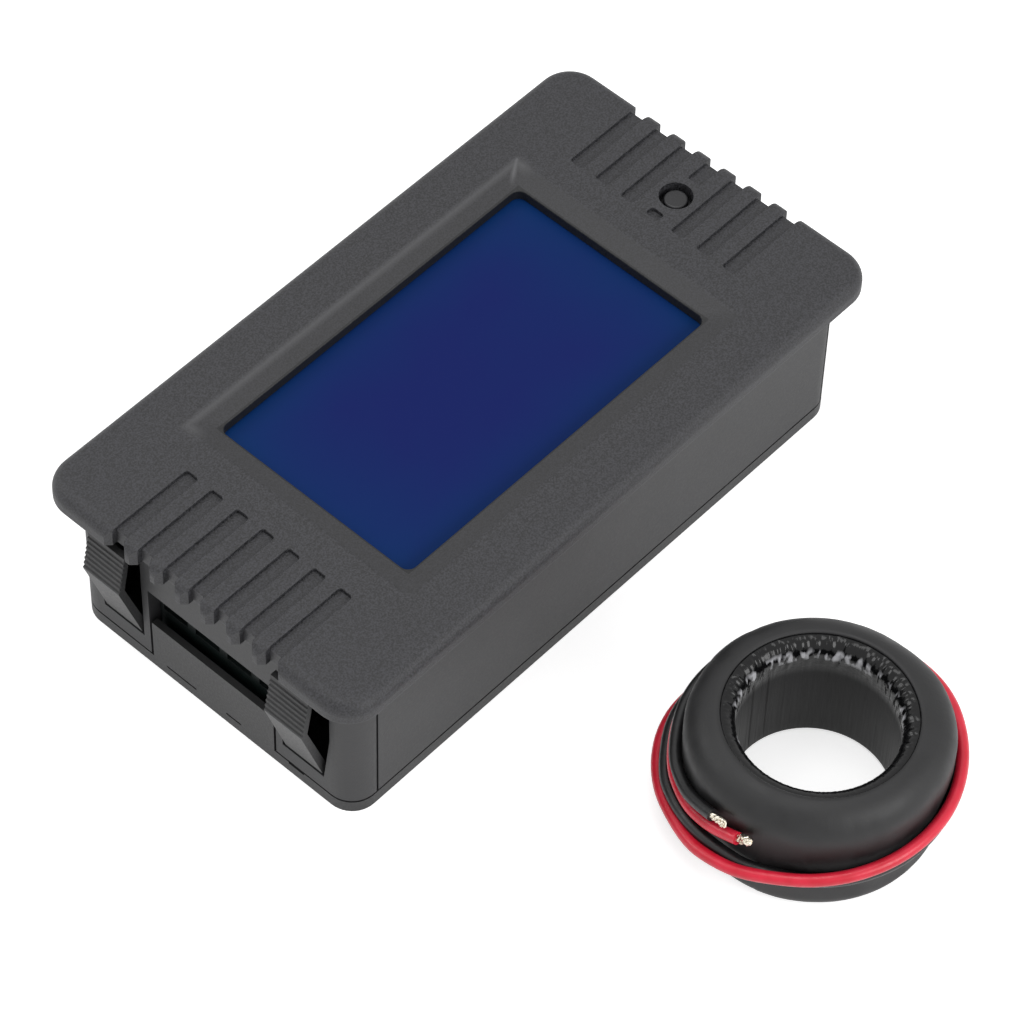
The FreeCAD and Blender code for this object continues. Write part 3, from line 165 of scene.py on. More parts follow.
def piece(name, form, smooth=True):
    """A finished bmesh as an object of the scene."""
    mesh = bpy.data.meshes.new(name)
    for face in form.faces:
        face.smooth = smooth
    form.to_mesh(mesh)
    form.free()
    thing = bpy.data.objects.new(name, mesh)
    bpy.context.scene.collection.objects.link(thing)
    return thing


# Leads of the sensor: wound a turn and a third round the tape, and ending in front.
# Stations are (degrees round the ring, gap to the tape, height). They follow the part's own routes
# within a millimetre, and are moved to where the photograph shows each lead. Neighbouring
# turns lie about a wire's thickness apart, and steps of 30 degrees at most keep the line on the ring.

RED_STATIONS = [(48, 0.25, 3.0), (57, 0.5, 3.1), (75, 1.8, 3.6), (105, 2.1, 4.2), (135, 1.7, 4.8),
                (165, 1.5, 5.85), (180, 1.58, 6.75), (195, 1.33, 7.7), (225, 0.92, 9.0), (255, 0.5, 9.35),
                (285, 0.4, 9.25), (315, 0.65, 9.25), (345, 1.6, 8.95), (375, 1.75, 8.3), (405, 0.95, 8.0),
                (435, 0.45, 7.9), (465, 0.25, 7.9), (495, 0.12, 8.15), (515, 0.12, 8.5), (527, 0.12, 9.35),
                (538, 0.15, 10.4), (547.2, 0.22, 11.4)]
BLACK_STATIONS = [(48, 0.25, 5.1), (57, 0.4, 5.2), (75, 1.1, 5.6), (105, 1.25, 6.0), (135, 0.95, 6.3),
                  (150, 0.75, 6.6), (165, 0.45, 6.85), (180, 0.08, 6.98), (195, 0.05, 7.05),
                  (225, 0.0, 7.2), (255, 0.0, 7.5), (285, -0.05, 7.55), (315, -0.05, 7.6),
                  (345, 0.0, 8.0), (375, 0.1, 9.35), (405, 0.1, 9.9), (435, 0.1, 9.8), (465, 0.0, 9.7),
                  (495, 0.0, 9.8), (512, 0.05, 10.1), (523, 0.1, 11.0), (533.9, 0.2, 12.2)]


def round_ring(angle, radius, height):
    turn = math.radians(angle)
    return RING + Vector((radius * math.cos(turn), radius * math.sin(turn), height)) * MM


def lead_points(stations):
    """Control points; each inner one stands out by as much as the line cuts inside it."""
    points = []
    last = len(stations) - 1
    for k, (angle, gap, height) in enumerate(stations):
        radius = RING_OUTER + gap + LEAD_SIZE / 2
        if 0 < k < last:
            radius /= math.cos(math.radians(stations[k + 1][0] - stations[k - 1][0]) / 4)
        points.append(round_ring(angle, radius, height))
    return points


def smooth_line(curve, points, sizes=None):
    """A smooth run through the curve's control points, with the line's thickness at each."""
    spline = curve.splines.new("NURBS")
    spline.points.add(len(points) - 1)
    for k, (point, spot) in enumerate(zip(spline.points, points)):
        point.co = (*spot, 1)
        point.radius = sizes[k] if sizes else 1.0
    spline.order_u = 3
    spline.use_endpoint_u = True


def round_wire(name, thickness):
    curve = bpy.data.curves.new(name, "CURVE")
    curve.dimensions = "3D"
    curve.bevel_depth = thickness / 2 * MM
    curve.bevel_resolution = 8
    curve.resolution_u = 10
    curve.use_fill_caps = True
    thing = bpy.data.objects.new(name, curve)
    bpy.context.scene.collection.objects.link(thing)
    return thing


def insulation(name, dark, light, rough):
    """Extruded soft PVC: slow waves from the extruder, and spots rubbed duller by handling."""
    material, tree, shader, where = start(name)
    clouds = add(tree, "ShaderNodeTexNoise", {"Vector": where, "Scale": 1 / (3.0 * MM), "Detail": 3.0})
    tone = add(tree, "ShaderNodeMapRange", {"Value": clouds, **NARROW})
    rubbed = add(tree, "ShaderNodeTexNoise", {"Vector": where, "Scale": 1 / (0.5 * MM), "Detail": 4.0})
    link(tree, shader,
         Base_Color=add(tree, "ShaderNodeMix",
                        {FACTOR: tone, COLOUR_A: linear(dark), COLOUR_B: linear(light)}, **COLOUR_MIX),
         Roughness=add(tree, "ShaderNodeMapRange", {"Value": rubbed, "From Min": 0.35, "From Max": 0.7,
                                                    "To Min": rough - 0.06, "To Max": rough + 0.1}),
         Normal=add(tree, "ShaderNodeBump", {"Height": rubbed, "Distance": 0.012 * MM}))
    return material


RED_PVC = insulation("red_extruded_pvc", "cc1830", "de2640", 0.36)
BLACK_PVC = insulation("black_extruded_pvc", "0b0b0c", "141416", 0.42)
# Solder over fine strands: bright, lumpy, a little creamy from flux.
TINNED = worked("solder_dipped_strands", "b4aa96", "f6efe0", 0.28, (1, 1, 1), 0.05, 0.25)


def strands(name, points, seed, lift, spread):
    """Strands twisted together and held in lumps of solder, from a lead's end on along its line."""
    rng = random.Random(seed)
    tip, before = points[-1], points[-2]
    ahead = (tip - before).normalized()
    side = ahead.cross(Vector((0, 0, 1))).normalized()
    over = side.cross(ahead)
    strand_size, steps, count = 0.36, 11, 6
    length, sunk, frayed = 2.75, 0.35, 0.5          # sunk in the insulation, and cut unevenly by
    core, stray, sway = 0.18, 0.11, 0.18            # off the middle: a strand, its stray, the bundle
    lay, unlaid = 3.4, 0.7                          # twist in radians, and its unevenness
    thinnest, lumpiest, pinched = 0.55, 1.5, 0.5    # of a strand's size, and at its tip
    bundle = round_wire(name, strand_size)
    bundle.data.bevel_resolution = 3
    bundle.data.resolution_u = 4
    for w in range(count):
        line, sizes = [], []
        for i in range(steps + 1):
            along = i / steps
            swing = core + spread * math.sin(math.pi * along) ** 2 + stray * rng.uniform(-1, 1)
            twist = FULL_TURN * w / count + lay * along + unlaid * rng.uniform(-1, 1)
            reach = along * (length - frayed * rng.random() * (i == steps)) - sunk
            line.append(tip + MM * (ahead * reach
                                    + (side * math.cos(twist) + over * math.sin(twist)) * swing
                                    + over * lift * along * along
                                    + side * sway * math.sin(5 * along + seed)))
            sizes.append(rng.uniform(thinnest, lumpiest) * (pinched if i == steps else 1.0))
        smooth_line(bundle.data, line, sizes)
    mesh = bpy.data.meshes.new_from_object(bundle)
    bpy.data.objects.remove(bundle)
    thing = bpy.data.objects.new(name, mesh)
    bpy.context.scene.collection.objects.link(thing)
    for face in mesh.polygons:
        face.use_smooth = True
    wear(thing, TINNED)
    return thing


def leads():
    """Both leads: real length in metres, then the strands' seed, lift at the tip and spread in mm."""
    for colour, stations, insulated, length, seed, lift, spread in (
            ("red", RED_STATIONS, RED_PVC, 0.151, 3, 0.5, 0.26),
            ("black", BLACK_STATIONS, BLACK_PVC, 0.138, 8, -0.3, 0.1)):
        tube = round_wire(colour + "_wire", LEAD_SIZE)
        points = lead_points(stations)
        smooth_line(tube.data, points)
        tube.data.materials.append(insulated)
        bundle = strands(colour + "_tinned_end", points, seed, lift, spread)
        for thing, node, slot in ((tube, colour + "_lead", colour + "_insulation"),
                                  (bundle, colour + "_lead_strands", "tinned_metal")):
            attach(thing, "sensor")
            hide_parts(node)


leads()


# Tape round the ring sensor

def spun(profile, steps, turn=FULL_TURN, begin=0.0):
    """A closed profile of (radius, height) millimetres spun about the ring's axis."""
    form = bmesh.new()
    verts = [form.verts.new((r * MM * math.cos(begin), r * MM * math.sin(begin), z * MM))
             for r, z in profile]
    edges = [form.edges.new((a, b)) for a, b in zip(verts, verts[1:] + verts[:1])]
    whole = turn == FULL_TURN
    if not whole:
        form.faces.new(verts)
    swept = bmesh.ops.spin(form, geom=verts + edges, cent=(0, 0, 0), axis=(0, 0, 1), angle=turn,
                           steps=steps, use_merge=whole)
    if not whole:
        rim = [g for g in swept["geom_last"] if isinstance(g, bmesh.types.BMEdge)]
        bmesh.ops.contextual_create(form, geom=rim)
    bmesh.ops.remove_doubles(form, verts=form.verts, dist=1e-7)
    bmesh.ops.recalc_face_normals(form, faces=form.faces)
    return form


def bow(centre, across, down, start_deg, end_deg, count):
    """Points of a profile on a bow, from one angle to another."""
    turns = [math.radians(start_deg + (end_deg - start_deg) * i / count) for i in range(count + 1)]
    return [(centre[0] + across * math.cos(t), centre[1] + down * math.sin(t)) for t in turns]


def run(first, last, count):
    """Evenly spaced points of a profile after first, up to last."""
    return [(first[0] + (last[0] - first[0]) * i / count, first[1] + (last[1] - first[1]) * i / count)
            for i in range(1, count + 1)]


def waves(rng, counts, size):
    """A sum of waves round the ring: (waves a turn, phase, height) each."""
    return [(n, rng.uniform(0, FULL_TURN), size * rng.uniform(0.5, 1) / len(counts) ** 0.5)
            for n in counts]


def height_of(series, turn, drift=0.0):
    """The waves' sum at an angle; drift slides them against each other."""
    return sum(h * math.sin(n * turn + p + drift * (n % 3 - 1)) for n, p, h in series)


def held(value, low=0.0, high=1.0):
    return max(low, min(high, value))


def round_axis(vert):
    """A point's angle round the ring, distance from its axis in millimetres, height, and way out."""
    flat = math.hypot(vert.co.x, vert.co.y)
    return (math.atan2(vert.co.y, vert.co.x) % FULL_TURN, flat / MM, vert.co.z / MM,
            Vector((vert.co.x, vert.co.y, 0)) / flat)


def outer_tape():
    """Tape stretched round the outside and folded over the top: soft flats where it pulls straight."""
    shoulder, foot, thick = 3.8, 2.4, TAPE_THICK      # two rounds of the outline, and the film
    inner_edge = RING_RIM + 0.5
    outside = ([(RING_RIM, RING_HEIGHT - 0.15)]
               + bow((RING_OUTER - shoulder, RING_HEIGHT - shoulder), shoulder, shoulder, 90, 0, 14)
               + run((RING_OUTER, RING_HEIGHT - shoulder), (RING_OUTER, foot), 16)
               + bow((RING_OUTER - foot, foot), foot, foot, -8, -90, 8)
               + run((RING_OUTER - foot, 0), (inner_edge, 0.0), 2))
    inside = [(inner_edge, thick), (RING_OUTER - foot, thick), (RING_OUTER - thick, foot + 0.4),
              (RING_OUTER - thick, RING_HEIGHT - shoulder), (RING_OUTER - shoulder, RING_HEIGHT - thick),
              (RING_RIM, RING_HEIGHT - thick)]
    form = spun(outside + inside, 360)
    rng = random.Random(5)
    flats = waves(rng, (3, 5, 8, 11), 0.08)
    ripples = waves(rng, (17, 23, 31, 44), 0.03)
    # The tape's outer end shows as an edge in front, and its step fades out round the ring
    lap_angle, lap_rise, lap_edge, lap_fade, lap_top = math.radians(195), 0.1, 1.2, 80, 15.2
    # Round this angle and above this height the tape stands out and has no flats
    bulge_angle, bulge_rise, bulge_fade, bulge_low = 320, 0.5, 25, 8.4
    for vert in form.verts:
        turn, flat, z, outwards = round_axis(vert)
        share = held((flat - RING_RIM - 0.6) / 2.5) * held(z / 2.5)      # nothing moves at rim and foot
        push = height_of(flats, turn, z * 0.25) + height_of(ripples, turn, z * 0.6) * 0.8
        lapped = (turn - lap_angle) % FULL_TURN
        step = (lap_rise * held(lapped / math.radians(lap_edge))
                * held(1 - lapped / math.radians(lap_fade)) * held((lap_top - z) / 2))
        bulge = (bulge_rise * held(1.6 - abs(math.degrees(turn) - bulge_angle) / bulge_fade)
                 * held((z - bulge_low) / 1.0))
        vert.co += outwards * (min(push, 0.0) * (1 - bulge) + bulge + step) * share * MM + RING
    return piece("outer_tape_wrap", form)


def bore_tape():
    """Tape folded down into the hole: pleated where it gathers on its way in, pulled smooth below."""
    skin, wide, deep, top, foot = TAPE_THICK, RING_RIM - RING_BORE, 1.9, RING_HEIGHT - 0.22, 0.6
    gather = 4.0                          # how far below the lip the finer mesh of the pleats runs
    inside = ([(RING_RIM, 0.1)] + bow((RING_BORE + foot, foot + 0.1), foot, foot, -95, -180, 5)
              + run((RING_BORE, foot + 0.1), (RING_BORE, top - deep - gather), 8)
              + run((RING_BORE, top - deep - gather), (RING_BORE, top - deep), 14)
              + bow((RING_RIM, top - deep), wide, deep, 174, 90, 16))
    outside = [(RING_RIM, top - skin), (RING_BORE + skin + 0.3, top - deep - 0.2),
               (RING_BORE + skin, top - deep - 2), (RING_BORE + skin, foot + 0.8), (RING_RIM, 0.7)]
    form = spun(inside + outside, 720)
    rng = random.Random(11)
    # Pleats: angle, half width in degrees, height, how far down it runs, slant
    pleats, at, last = [], 0.0, 356
    while at < last:
        at += rng.uniform(3.4, 9.5)
        pleats.append((at, rng.uniform(1.8, 4.4), rng.uniform(0.07, 0.2), rng.uniform(12.4, 14.6),
                       rng.uniform(-1.5, 1.5)))
    crinkles = waves(rng, (29, 37, 47, 59, 71), 0.06)
    smooth_side = math.radians(214)       # where the film was pulled straight instead of gathered
    ripples = waves(rng, (47, 71, 103, 139), 0.014)
    # Where the film is pinched: angle, and how deep the crease runs
    creases, crease_half, crease_top = ((76.0, 0.16), (90.0, 0.2), (128.0, 0.06), (33.0, 0.05)), 0.8, 14.5
    lowest, highest, lip = -0.3, 0.45, 0.5          # the push is held between the first two
    for vert in form.verts:
        turn, flat, z, outwards = round_axis(vert)
        on_wall = flat < RING_BORE + skin - 0.1
        on_lip = z > top - deep and flat < RING_RIM - 0.03 and z > top - skin - (RING_RIM - flat) * 1.2
        if not (on_wall or on_lip):
            vert.co += RING
            continue
        degrees = math.degrees(turn)
        mouth = held((RING_RIM - flat) / 0.55)
        gathered = held((0.3 - 0.5 * math.cos(turn - smooth_side)) / 0.35) * mouth
        push = height_of(ripples, turn) * held(z / 2) * mouth
        for middle, half, height, reach, slant in pleats:
            off = abs((degrees - middle - slant * (z - 14) + 180) % 360 - 180)
            if off < half:
                push += height * (1 - off / half) * held((z - reach) / 2.2) * gathered
        push += height_of(crinkles, turn, z * 1.2) * held((z - 12.8) / 1.5) * gathered
        for middle, depth in creases:
            off = abs((degrees - middle + 180) % 360 - 180)
            push -= depth * held(1 - off / crease_half) * held((crease_top - z) / 2) * held((z - 0.8) / 1.5)
        inwards = Vector((0, 0, lip * (1 - held((top - z) / deep)))) - outwards
        vert.co += inwards * held(push, lowest, highest) * MM
        vert.co += RING
    return piece("bore_tape_sleeve", form)


def joint_patch():
    """Strip of tape stuck over the joints of the leads: bulged over them, and thin at its far edge."""
    begin, stop, rise = 22.0, 48.5, 1.95             # degrees round the ring, and the bulge
    middle, back = 4.1, RING_OUTER - 0.5
    outline = (bow((RING_OUTER - 0.25, middle), 0.3, 2.6, -90, 90, 22) + [(back, 6.4), (back, 1.8)])
    form = spun(outline, 40, math.radians(stop - begin), math.radians(begin))
    rng = random.Random(23)
    folds = waves(rng, (41, 67, 89), 0.1)
    for vert in form.verts:
        turn, flat, z, outwards = round_axis(vert)
        along = (math.degrees(turn) - begin) / (stop - begin)
        across = 1 - abs(z - middle) / 2.7
        bulge = (held(along * 3.2) ** 0.7 * (1 - 0.25 * held((along - 0.9) * 10))
                 * held(across, 0.0, 1.0) ** 0.45)
        if flat > RING_OUTER - 0.3:
            vert.co += outwards * (rise * bulge + height_of(folds, turn, z * 2) * bulge) * MM
        vert.co += RING
    return piece("joint_tape_patch", form)


def tape_finish():
    """Soft black PVC tape, pulled tight: a satin film with slow haze where it stretched unevenly."""
    material, tree, shader, where = start("stretched_pvc_tape", IOR=1.45)
    haze = add(tree, "ShaderNodeTexNoise", {"Vector": where, "Scale": 1 / (3.5 * MM), "Detail": 4.0})
    tone = add(tree, "ShaderNodeMapRange", {"Value": haze, **NARROW})
    drawn = add(tree, "ShaderNodeMapping", {"Vector": where, "Scale": (1, 1, 0.3)})
    fine = add(tree, "ShaderNodeTexNoise", {"Vector": drawn, "Scale": 1 / (0.7 * MM), "Detail": 4.0,
                                            "Roughness": 0.6})
    link(tree, shader,
         Base_Color=add(tree, "ShaderNodeMix",
                        {FACTOR: tone, COLOUR_A: linear("131314"), COLOUR_B: linear("202021")},
                        **COLOUR_MIX),
         Roughness=add(tree, "ShaderNodeMapRange",
                       {"Value": haze, **NARROW, "To Min": 0.48, "To Max": 0.62}),
         Normal=add(tree, "ShaderNodeBump", {"Height": fine, "Distance": 0.03 * MM}))
    return material


def pleated_finish():
    """The same tape inside the hole: glossy where it is gathered at the mouth, with short pale strokes
    of painted highlight standing in for the lamps' glints there, and below that drawn into fine upright
    streaks."""
    material, tree, shader, where = start("gathered_pvc_tape", IOR=1.45, Specular_IOR_Level=0.35)
    band_level, band_full, band_end = 14.9 * MM, 0.5 * MM, 1.0 * MM     # painted highlight strokes, and off them
    mouth_low, mouth_high = 11.6 * MM, 13.2 * MM                        # from drawn to gathered film
    shade_low, shade_high = 5.0 * MM, 11.0 * MM                         # painted shade darkens the wall upwards
    centred = add(tree, "ShaderNodeMapping", {"Vector": where, "Location": tuple(-RING)})
    place = add(tree, "ShaderNodeSeparateXYZ", {"Vector": centred}).node.outputs
    level = place["Z"]
    turn = add(tree, "ShaderNodeMath", {0: place["Y"], 1: place["X"]}, operation="ARCTAN2")
    arc = add(tree, "ShaderNodeMath", {0: turn, 1: RING_BORE * MM}, operation="MULTIPLY")
    drop = add(tree, "ShaderNodeMath", {0: level, 1: 0.3}, operation="MULTIPLY")
    unrolled = add(tree, "ShaderNodeCombineXYZ", {"X": arc, "Y": drop})
    glint_strokes = add(tree, "ShaderNodeTexNoise",
                  {"Vector": unrolled, "Scale": 1 / (0.85 * MM), "Detail": 1.5})
    clusters = add(tree, "ShaderNodeTexNoise", {"Vector": where, "Scale": 1 / (3.0 * MM)})
    glint_strokes = add(tree, "ShaderNodeMath", {0: glint_strokes, 1: clusters}, operation="ADD")
    glint_strokes = add(tree, "ShaderNodeMapRange", {"Value": glint_strokes, "From Min": 1.0, "From Max": 1.1})
    off_band = add(tree, "ShaderNodeMath", {0: level, 1: band_level}, operation="SUBTRACT")
    off_band = add(tree, "ShaderNodeMath", {0: off_band}, operation="ABSOLUTE")
    glint_band = add(tree, "ShaderNodeMapRange",
               {"Value": off_band, "From Min": band_full, "From Max": band_end,
                "To Min": 0.9, "To Max": 0.0})
    # Painted highlight: pale strokes (c8c8cc) in a band near the lip stand in for the lamps' glints on the
    # gathered film
    milky = add(tree, "ShaderNodeMath", {0: glint_strokes, 1: glint_band}, operation="MULTIPLY")
    mouth = add(tree, "ShaderNodeMapRange",
                {"Value": level, "From Min": mouth_low, "From Max": mouth_high})
    drawn = add(tree, "ShaderNodeMapping", {"Vector": where, "Scale": (1, 1, 0.05)})
    streaks = add(tree, "ShaderNodeTexNoise", {"Vector": drawn, "Scale": 1 / (0.3 * MM), "Detail": 3.0})
    crinkle = add(tree, "ShaderNodeTexNoise", {"Vector": where, "Scale": 1 / (0.5 * MM), "Detail": 4.0})
    tone = add(tree, "ShaderNodeMapRange", {"Value": streaks, **NARROW})
    wall = add(tree, "ShaderNodeMix",
               {FACTOR: tone, COLOUR_A: linear("171717"), COLOUR_B: linear("282828")}, **COLOUR_MIX)
    # Painted shade: the wall's colour is darkened towards its top, as if in shadow
    shade = add(tree, "ShaderNodeMapRange",
                {"Value": level, "From Min": shade_low, "From Max": shade_high, "To Max": 0.85})
    wall = add(tree, "ShaderNodeMix",
               {FACTOR: shade, COLOUR_A: wall, COLOUR_B: linear("0a0a0b")}, **COLOUR_MIX)
    height = add(tree, "ShaderNodeMix",
                 {FACTOR: mouth, NUMBER_A: streaks, NUMBER_B: crinkle}, data_type="FLOAT")
    film = add(tree, "ShaderNodeMix",
               {FACTOR: mouth, COLOUR_A: wall, COLOUR_B: linear("0e0e0f")}, **COLOUR_MIX)
    link(tree, shader,
         Base_Color=add(tree, "ShaderNodeMix",
                        {FACTOR: milky, COLOUR_A: film, COLOUR_B: linear("c8c8cc")}, **COLOUR_MIX),
         Roughness=add(tree, "ShaderNodeMapRange", {"Value": mouth, "To Min": 0.58, "To Max": 0.17}),
         Normal=add(tree, "ShaderNodeBump", {"Height": height, "Distance": 0.04 * MM}))
    return material


STRETCHED_PVC = tape_finish()
for made, node, vinyl in ((outer_tape(), "outer_tape", STRETCHED_PVC),
                          (bore_tape(), "bore_tape", pleated_finish()),
                          (joint_patch(), "lead_patch", STRETCHED_PVC)):
    wear(made, vinyl)
    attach(made, "sensor")
    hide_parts(node)


# Finishes of the case

def case_finish():
    """Black ABS. The tool's face was spark-eroded, which gives the flange a grain of fine grey specks;
    the slope round the window and the walls came off a smoother part and show slow clouds. The real
    grain is about 0.1 mm and is drawn at 0.22 mm, as coarse as it needs to show."""
    material, tree, shader, where = start("spark_eroded_abs", IOR=1.5)
    slope_x, slope_y, ridge_at = 28.1 * MM, 17.7 * MM, 0.985      # the slope's edge, and its ridge
    wall_x, wall_y = 25.45 * MM, 15.05 * MM                       # just outside the window's wall
    flange_low, flange_high = 21.9 * MM, 22.2 * MM                # round the flange's underside
    side_start, side_full = 14.5 * MM, 16.5 * MM                  # where the +Y side is counted from
    mitre_start, mitre_full = 24.5 * MM, 26.0 * MM
    ridge_half, mitre_half = 0.04, 0.03                           # as shares of the slope's edge
    place = add(tree, "ShaderNodeSeparateXYZ", {"Vector": where}).node.outputs
    off_x = add(tree, "ShaderNodeMath", {0: place["X"]}, operation="ABSOLUTE")
    off_y = add(tree, "ShaderNodeMath", {0: place["Y"]}, operation="ABSOLUTE")

    # 1 on the flange, less on the slope round the window, and least on the walls
    share_x = add(tree, "ShaderNodeMath", {0: off_x, 1: slope_x}, operation="DIVIDE")
    share_y = add(tree, "ShaderNodeMath", {0: off_y, 1: slope_y}, operation="DIVIDE")
    beyond = add(tree, "ShaderNodeMath", {0: share_x, 1: share_y}, operation="MAXIMUM")
    flat = add(tree, "ShaderNodeMapRange",
               {"Value": beyond, "From Min": ridge_at, "From Max": 1.0, "To Min": 0.6})
    flange = add(tree, "ShaderNodeMapRange",
                 {"Value": place["Z"], "From Min": flange_low, "From Max": flange_high, "To Min": 0.3})
    texture = add(tree, "ShaderNodeMath", {0: flat, 1: flange}, operation="MULTIPLY")

    # 1 on the window's own upright wall, which sees nothing but the dark glass and so gets painted shade:
    # near black
    inside_x = add(tree, "ShaderNodeMath", {0: off_x, 1: wall_x}, operation="LESS_THAN")
    inside_y = add(tree, "ShaderNodeMath", {0: off_y, 1: wall_y}, operation="LESS_THAN")
    inside = add(tree, "ShaderNodeMath", {0: inside_x, 1: inside_y}, operation="MULTIPLY")

    fine = add(tree, "ShaderNodeTexNoise", {"Vector": where, "Scale": 1 / (0.22 * MM), "Detail": 2.0,
                                            "Roughness": 0.6})
    coarse = add(tree, "ShaderNodeTexNoise", {"Vector": where, "Scale": 1 / (0.6 * MM), "Detail": 2.0})
    clouds = add(tree, "ShaderNodeTexNoise", {"Vector": where, "Scale": 1 / (7.0 * MM), "Detail": 3.0})
    speck = add(tree, "ShaderNodeMapRange", {"Value": fine, "From Min": 0.38, "From Max": 0.64})
    tone = add(tree, "ShaderNodeMapRange", {"Value": clouds, **WIDE})
    grained = add(tree, "ShaderNodeMix",
                  {FACTOR: speck, COLOUR_A: linear("101012"), COLOUR_B: linear("39393d")}, **COLOUR_MIX)
    smooth = add(tree, "ShaderNodeMix",
                 {FACTOR: tone, COLOUR_A: linear("262627"), COLOUR_B: linear("2c2c2d")}, **COLOUR_MIX)
    body = add(tree, "ShaderNodeMix",
               {FACTOR: texture, COLOUR_A: smooth, COLOUR_B: grained}, **COLOUR_MIX)

    # Along the window's +Y side the ridge where the slope starts gets a painted highlight, a little paler,
    # and so does the mitre at its far end
    far_side = add(tree, "ShaderNodeMapRange",
                   {"Value": place["Y"], "From Min": side_start, "From Max": side_full})
    far_side = add(tree, "ShaderNodeMath", {0: far_side, 1: flange}, operation="MULTIPLY")
    off_ridge = add(tree, "ShaderNodeMath", {0: beyond, 1: ridge_at}, operation="SUBTRACT")
    off_ridge = add(tree, "ShaderNodeMath", {0: off_ridge}, operation="ABSOLUTE")
    ridge_highlight = add(tree, "ShaderNodeMapRange",
                {"Value": off_ridge, "From Max": ridge_half, "To Min": 0.5, "To Max": 0.0})
    off_mitre = add(tree, "ShaderNodeMath", {0: share_x, 1: share_y}, operation="SUBTRACT")
    off_mitre = add(tree, "ShaderNodeMath", {0: off_mitre}, operation="ABSOLUTE")
    mitre_highlight = add(tree, "ShaderNodeMapRange",
                {"Value": off_mitre, "From Max": mitre_half, "To Min": 1.0, "To Max": 0.0})
    at_end = add(tree, "ShaderNodeMapRange",
                 {"Value": place["X"], "From Min": mitre_start, "From Max": mitre_full})
    mitre_highlight = add(tree, "ShaderNodeMath", {0: mitre_highlight, 1: at_end}, operation="MULTIPLY")
    on_slope = add(tree, "ShaderNodeMath", {0: beyond, 1: 1.0}, operation="LESS_THAN")
    mitre_highlight = add(tree, "ShaderNodeMath", {0: mitre_highlight, 1: on_slope}, operation="MULTIPLY")
    rubbed = add(tree, "ShaderNodeMath", {0: ridge_highlight, 1: mitre_highlight}, operation="MAXIMUM")
    rubbed = add(tree, "ShaderNodeMath", {0: rubbed, 1: far_side}, operation="MULTIPLY")
    # Painted highlight: the ridge and the mitre are mixed towards a paler grey (58585a)
    body = add(tree, "ShaderNodeMix",
               {FACTOR: rubbed, COLOUR_A: body, COLOUR_B: linear("58585a")}, **COLOUR_MIX)
    relief = add(tree, "ShaderNodeMath", {0: fine, 1: coarse}, operation="ADD")
    relief = add(tree, "ShaderNodeMath", {0: relief, 1: texture}, operation="MULTIPLY")
    # Painted shade: the window's upright wall is mixed to near black (050608), as if in shadow
    link(tree, shader,
         Base_Color=add(tree, "ShaderNodeMix",
                        {FACTOR: inside, COLOUR_A: body, COLOUR_B: linear("050608")}, **COLOUR_MIX),
         Roughness=add(tree, "ShaderNodeMapRange",
                       {"Value": fine, **WIDE, "To Min": 0.5, "To Max": 0.66}),
         Normal=add(tree, "ShaderNodeBump", {"Height": relief, "Distance": 0.05 * MM}))
    return material


wear("front_case", case_finish())
# The same ABS from the smooth side of the tool: an even satin with no specks.
SMOOTH_ABS = moulded("smooth_moulded_abs", "232324", "2a2a2b", 0.55, 0.3, 0.02)
# Button of ABS with a satin top, a little darker than the face.
BUTTON_ABS = moulded("satin_button_abs", "151517", "1e1e21", 0.46, 0.25, 0.03, 2.0)
for node in ("back_cover", "snap_clip_1", "snap_clip_2", "snap_clip_3", "snap_clip_4"):
    wear(node, SMOOTH_ABS)
wear("button_cap", BUTTON_ABS)


# Display

def polariser_finish():
    """Satin polariser over an unlit negative display: navy in the middle and bluer towards its edges."""
    material, tree, shader, where = start("satin_polariser_film", Specular_IOR_Level=0.06)
    half_x, half_y = 25.2 * MM, 14.8 * MM         # of the window
    place = add(tree, "ShaderNodeSeparateXYZ", {"Vector": where}).node.outputs
    off_x = add(tree, "ShaderNodeMath", {0: place["X"]}, operation="ABSOLUTE")
    off_y = add(tree, "ShaderNodeMath", {0: place["Y"]}, operation="ABSOLUTE")
    along = add(tree, "ShaderNodeMath", {0: off_x, 1: half_x}, operation="DIVIDE")
    across = add(tree, "ShaderNodeMath", {0: off_y, 1: half_y}, operation="DIVIDE")
    rim = add(tree, "ShaderNodeMath", {0: along, 1: across}, operation="MAXIMUM")
    rim = add(tree, "ShaderNodeMath", {0: rim, 1: 3.0}, operation="POWER")
    corner = add(tree, "ShaderNodeMath", {0: along, 1: across}, operation="MULTIPLY")
    corner = add(tree, "ShaderNodeMath", {0: corner, 1: 2.0}, operation="POWER")
    clouds = add(tree, "ShaderNodeTexNoise", {"Vector": where, "Scale": 1 / (9.0 * MM)})
    share = add(tree, "ShaderNodeMapRange", {"Value": clouds, **WIDE, "To Min": -0.08, "To Max": 0.08})
    share = add(tree, "ShaderNodeMath", {0: rim, 1: 0.7, 2: share}, operation="MULTIPLY_ADD")
    share = add(tree, "ShaderNodeMath", {0: corner, 1: 0.35, 2: share}, operation="MULTIPLY_ADD")
    fine = add(tree, "ShaderNodeTexNoise", {"Vector": where, "Scale": 1 / (0.3 * MM)})
    link(tree, shader,
         Base_Color=add(tree, "ShaderNodeMix",
                        {FACTOR: share, COLOUR_A: linear("16225f"), COLOUR_B: linear("0b3062")},
                        **COLOUR_MIX),
         Roughness=add(tree, "ShaderNodeMapRange",
                       {"Value": fine, **WIDE, "To Min": 0.3, "To Max": 0.42}),
         Normal=add(tree, "ShaderNodeBump", {"Height": fine, "Distance": 0.004 * MM}))
    return material


wear("display_film", polariser_finish())
# Glass of the cell: polished, and inked blue by the liquid crystal behind it.
wear("display_glass", moulded("polished_cell_glass", "131f52", "18265f", 0.12, 4.0, 0.004, 5.0, IOR=1.52))


# Inner parts

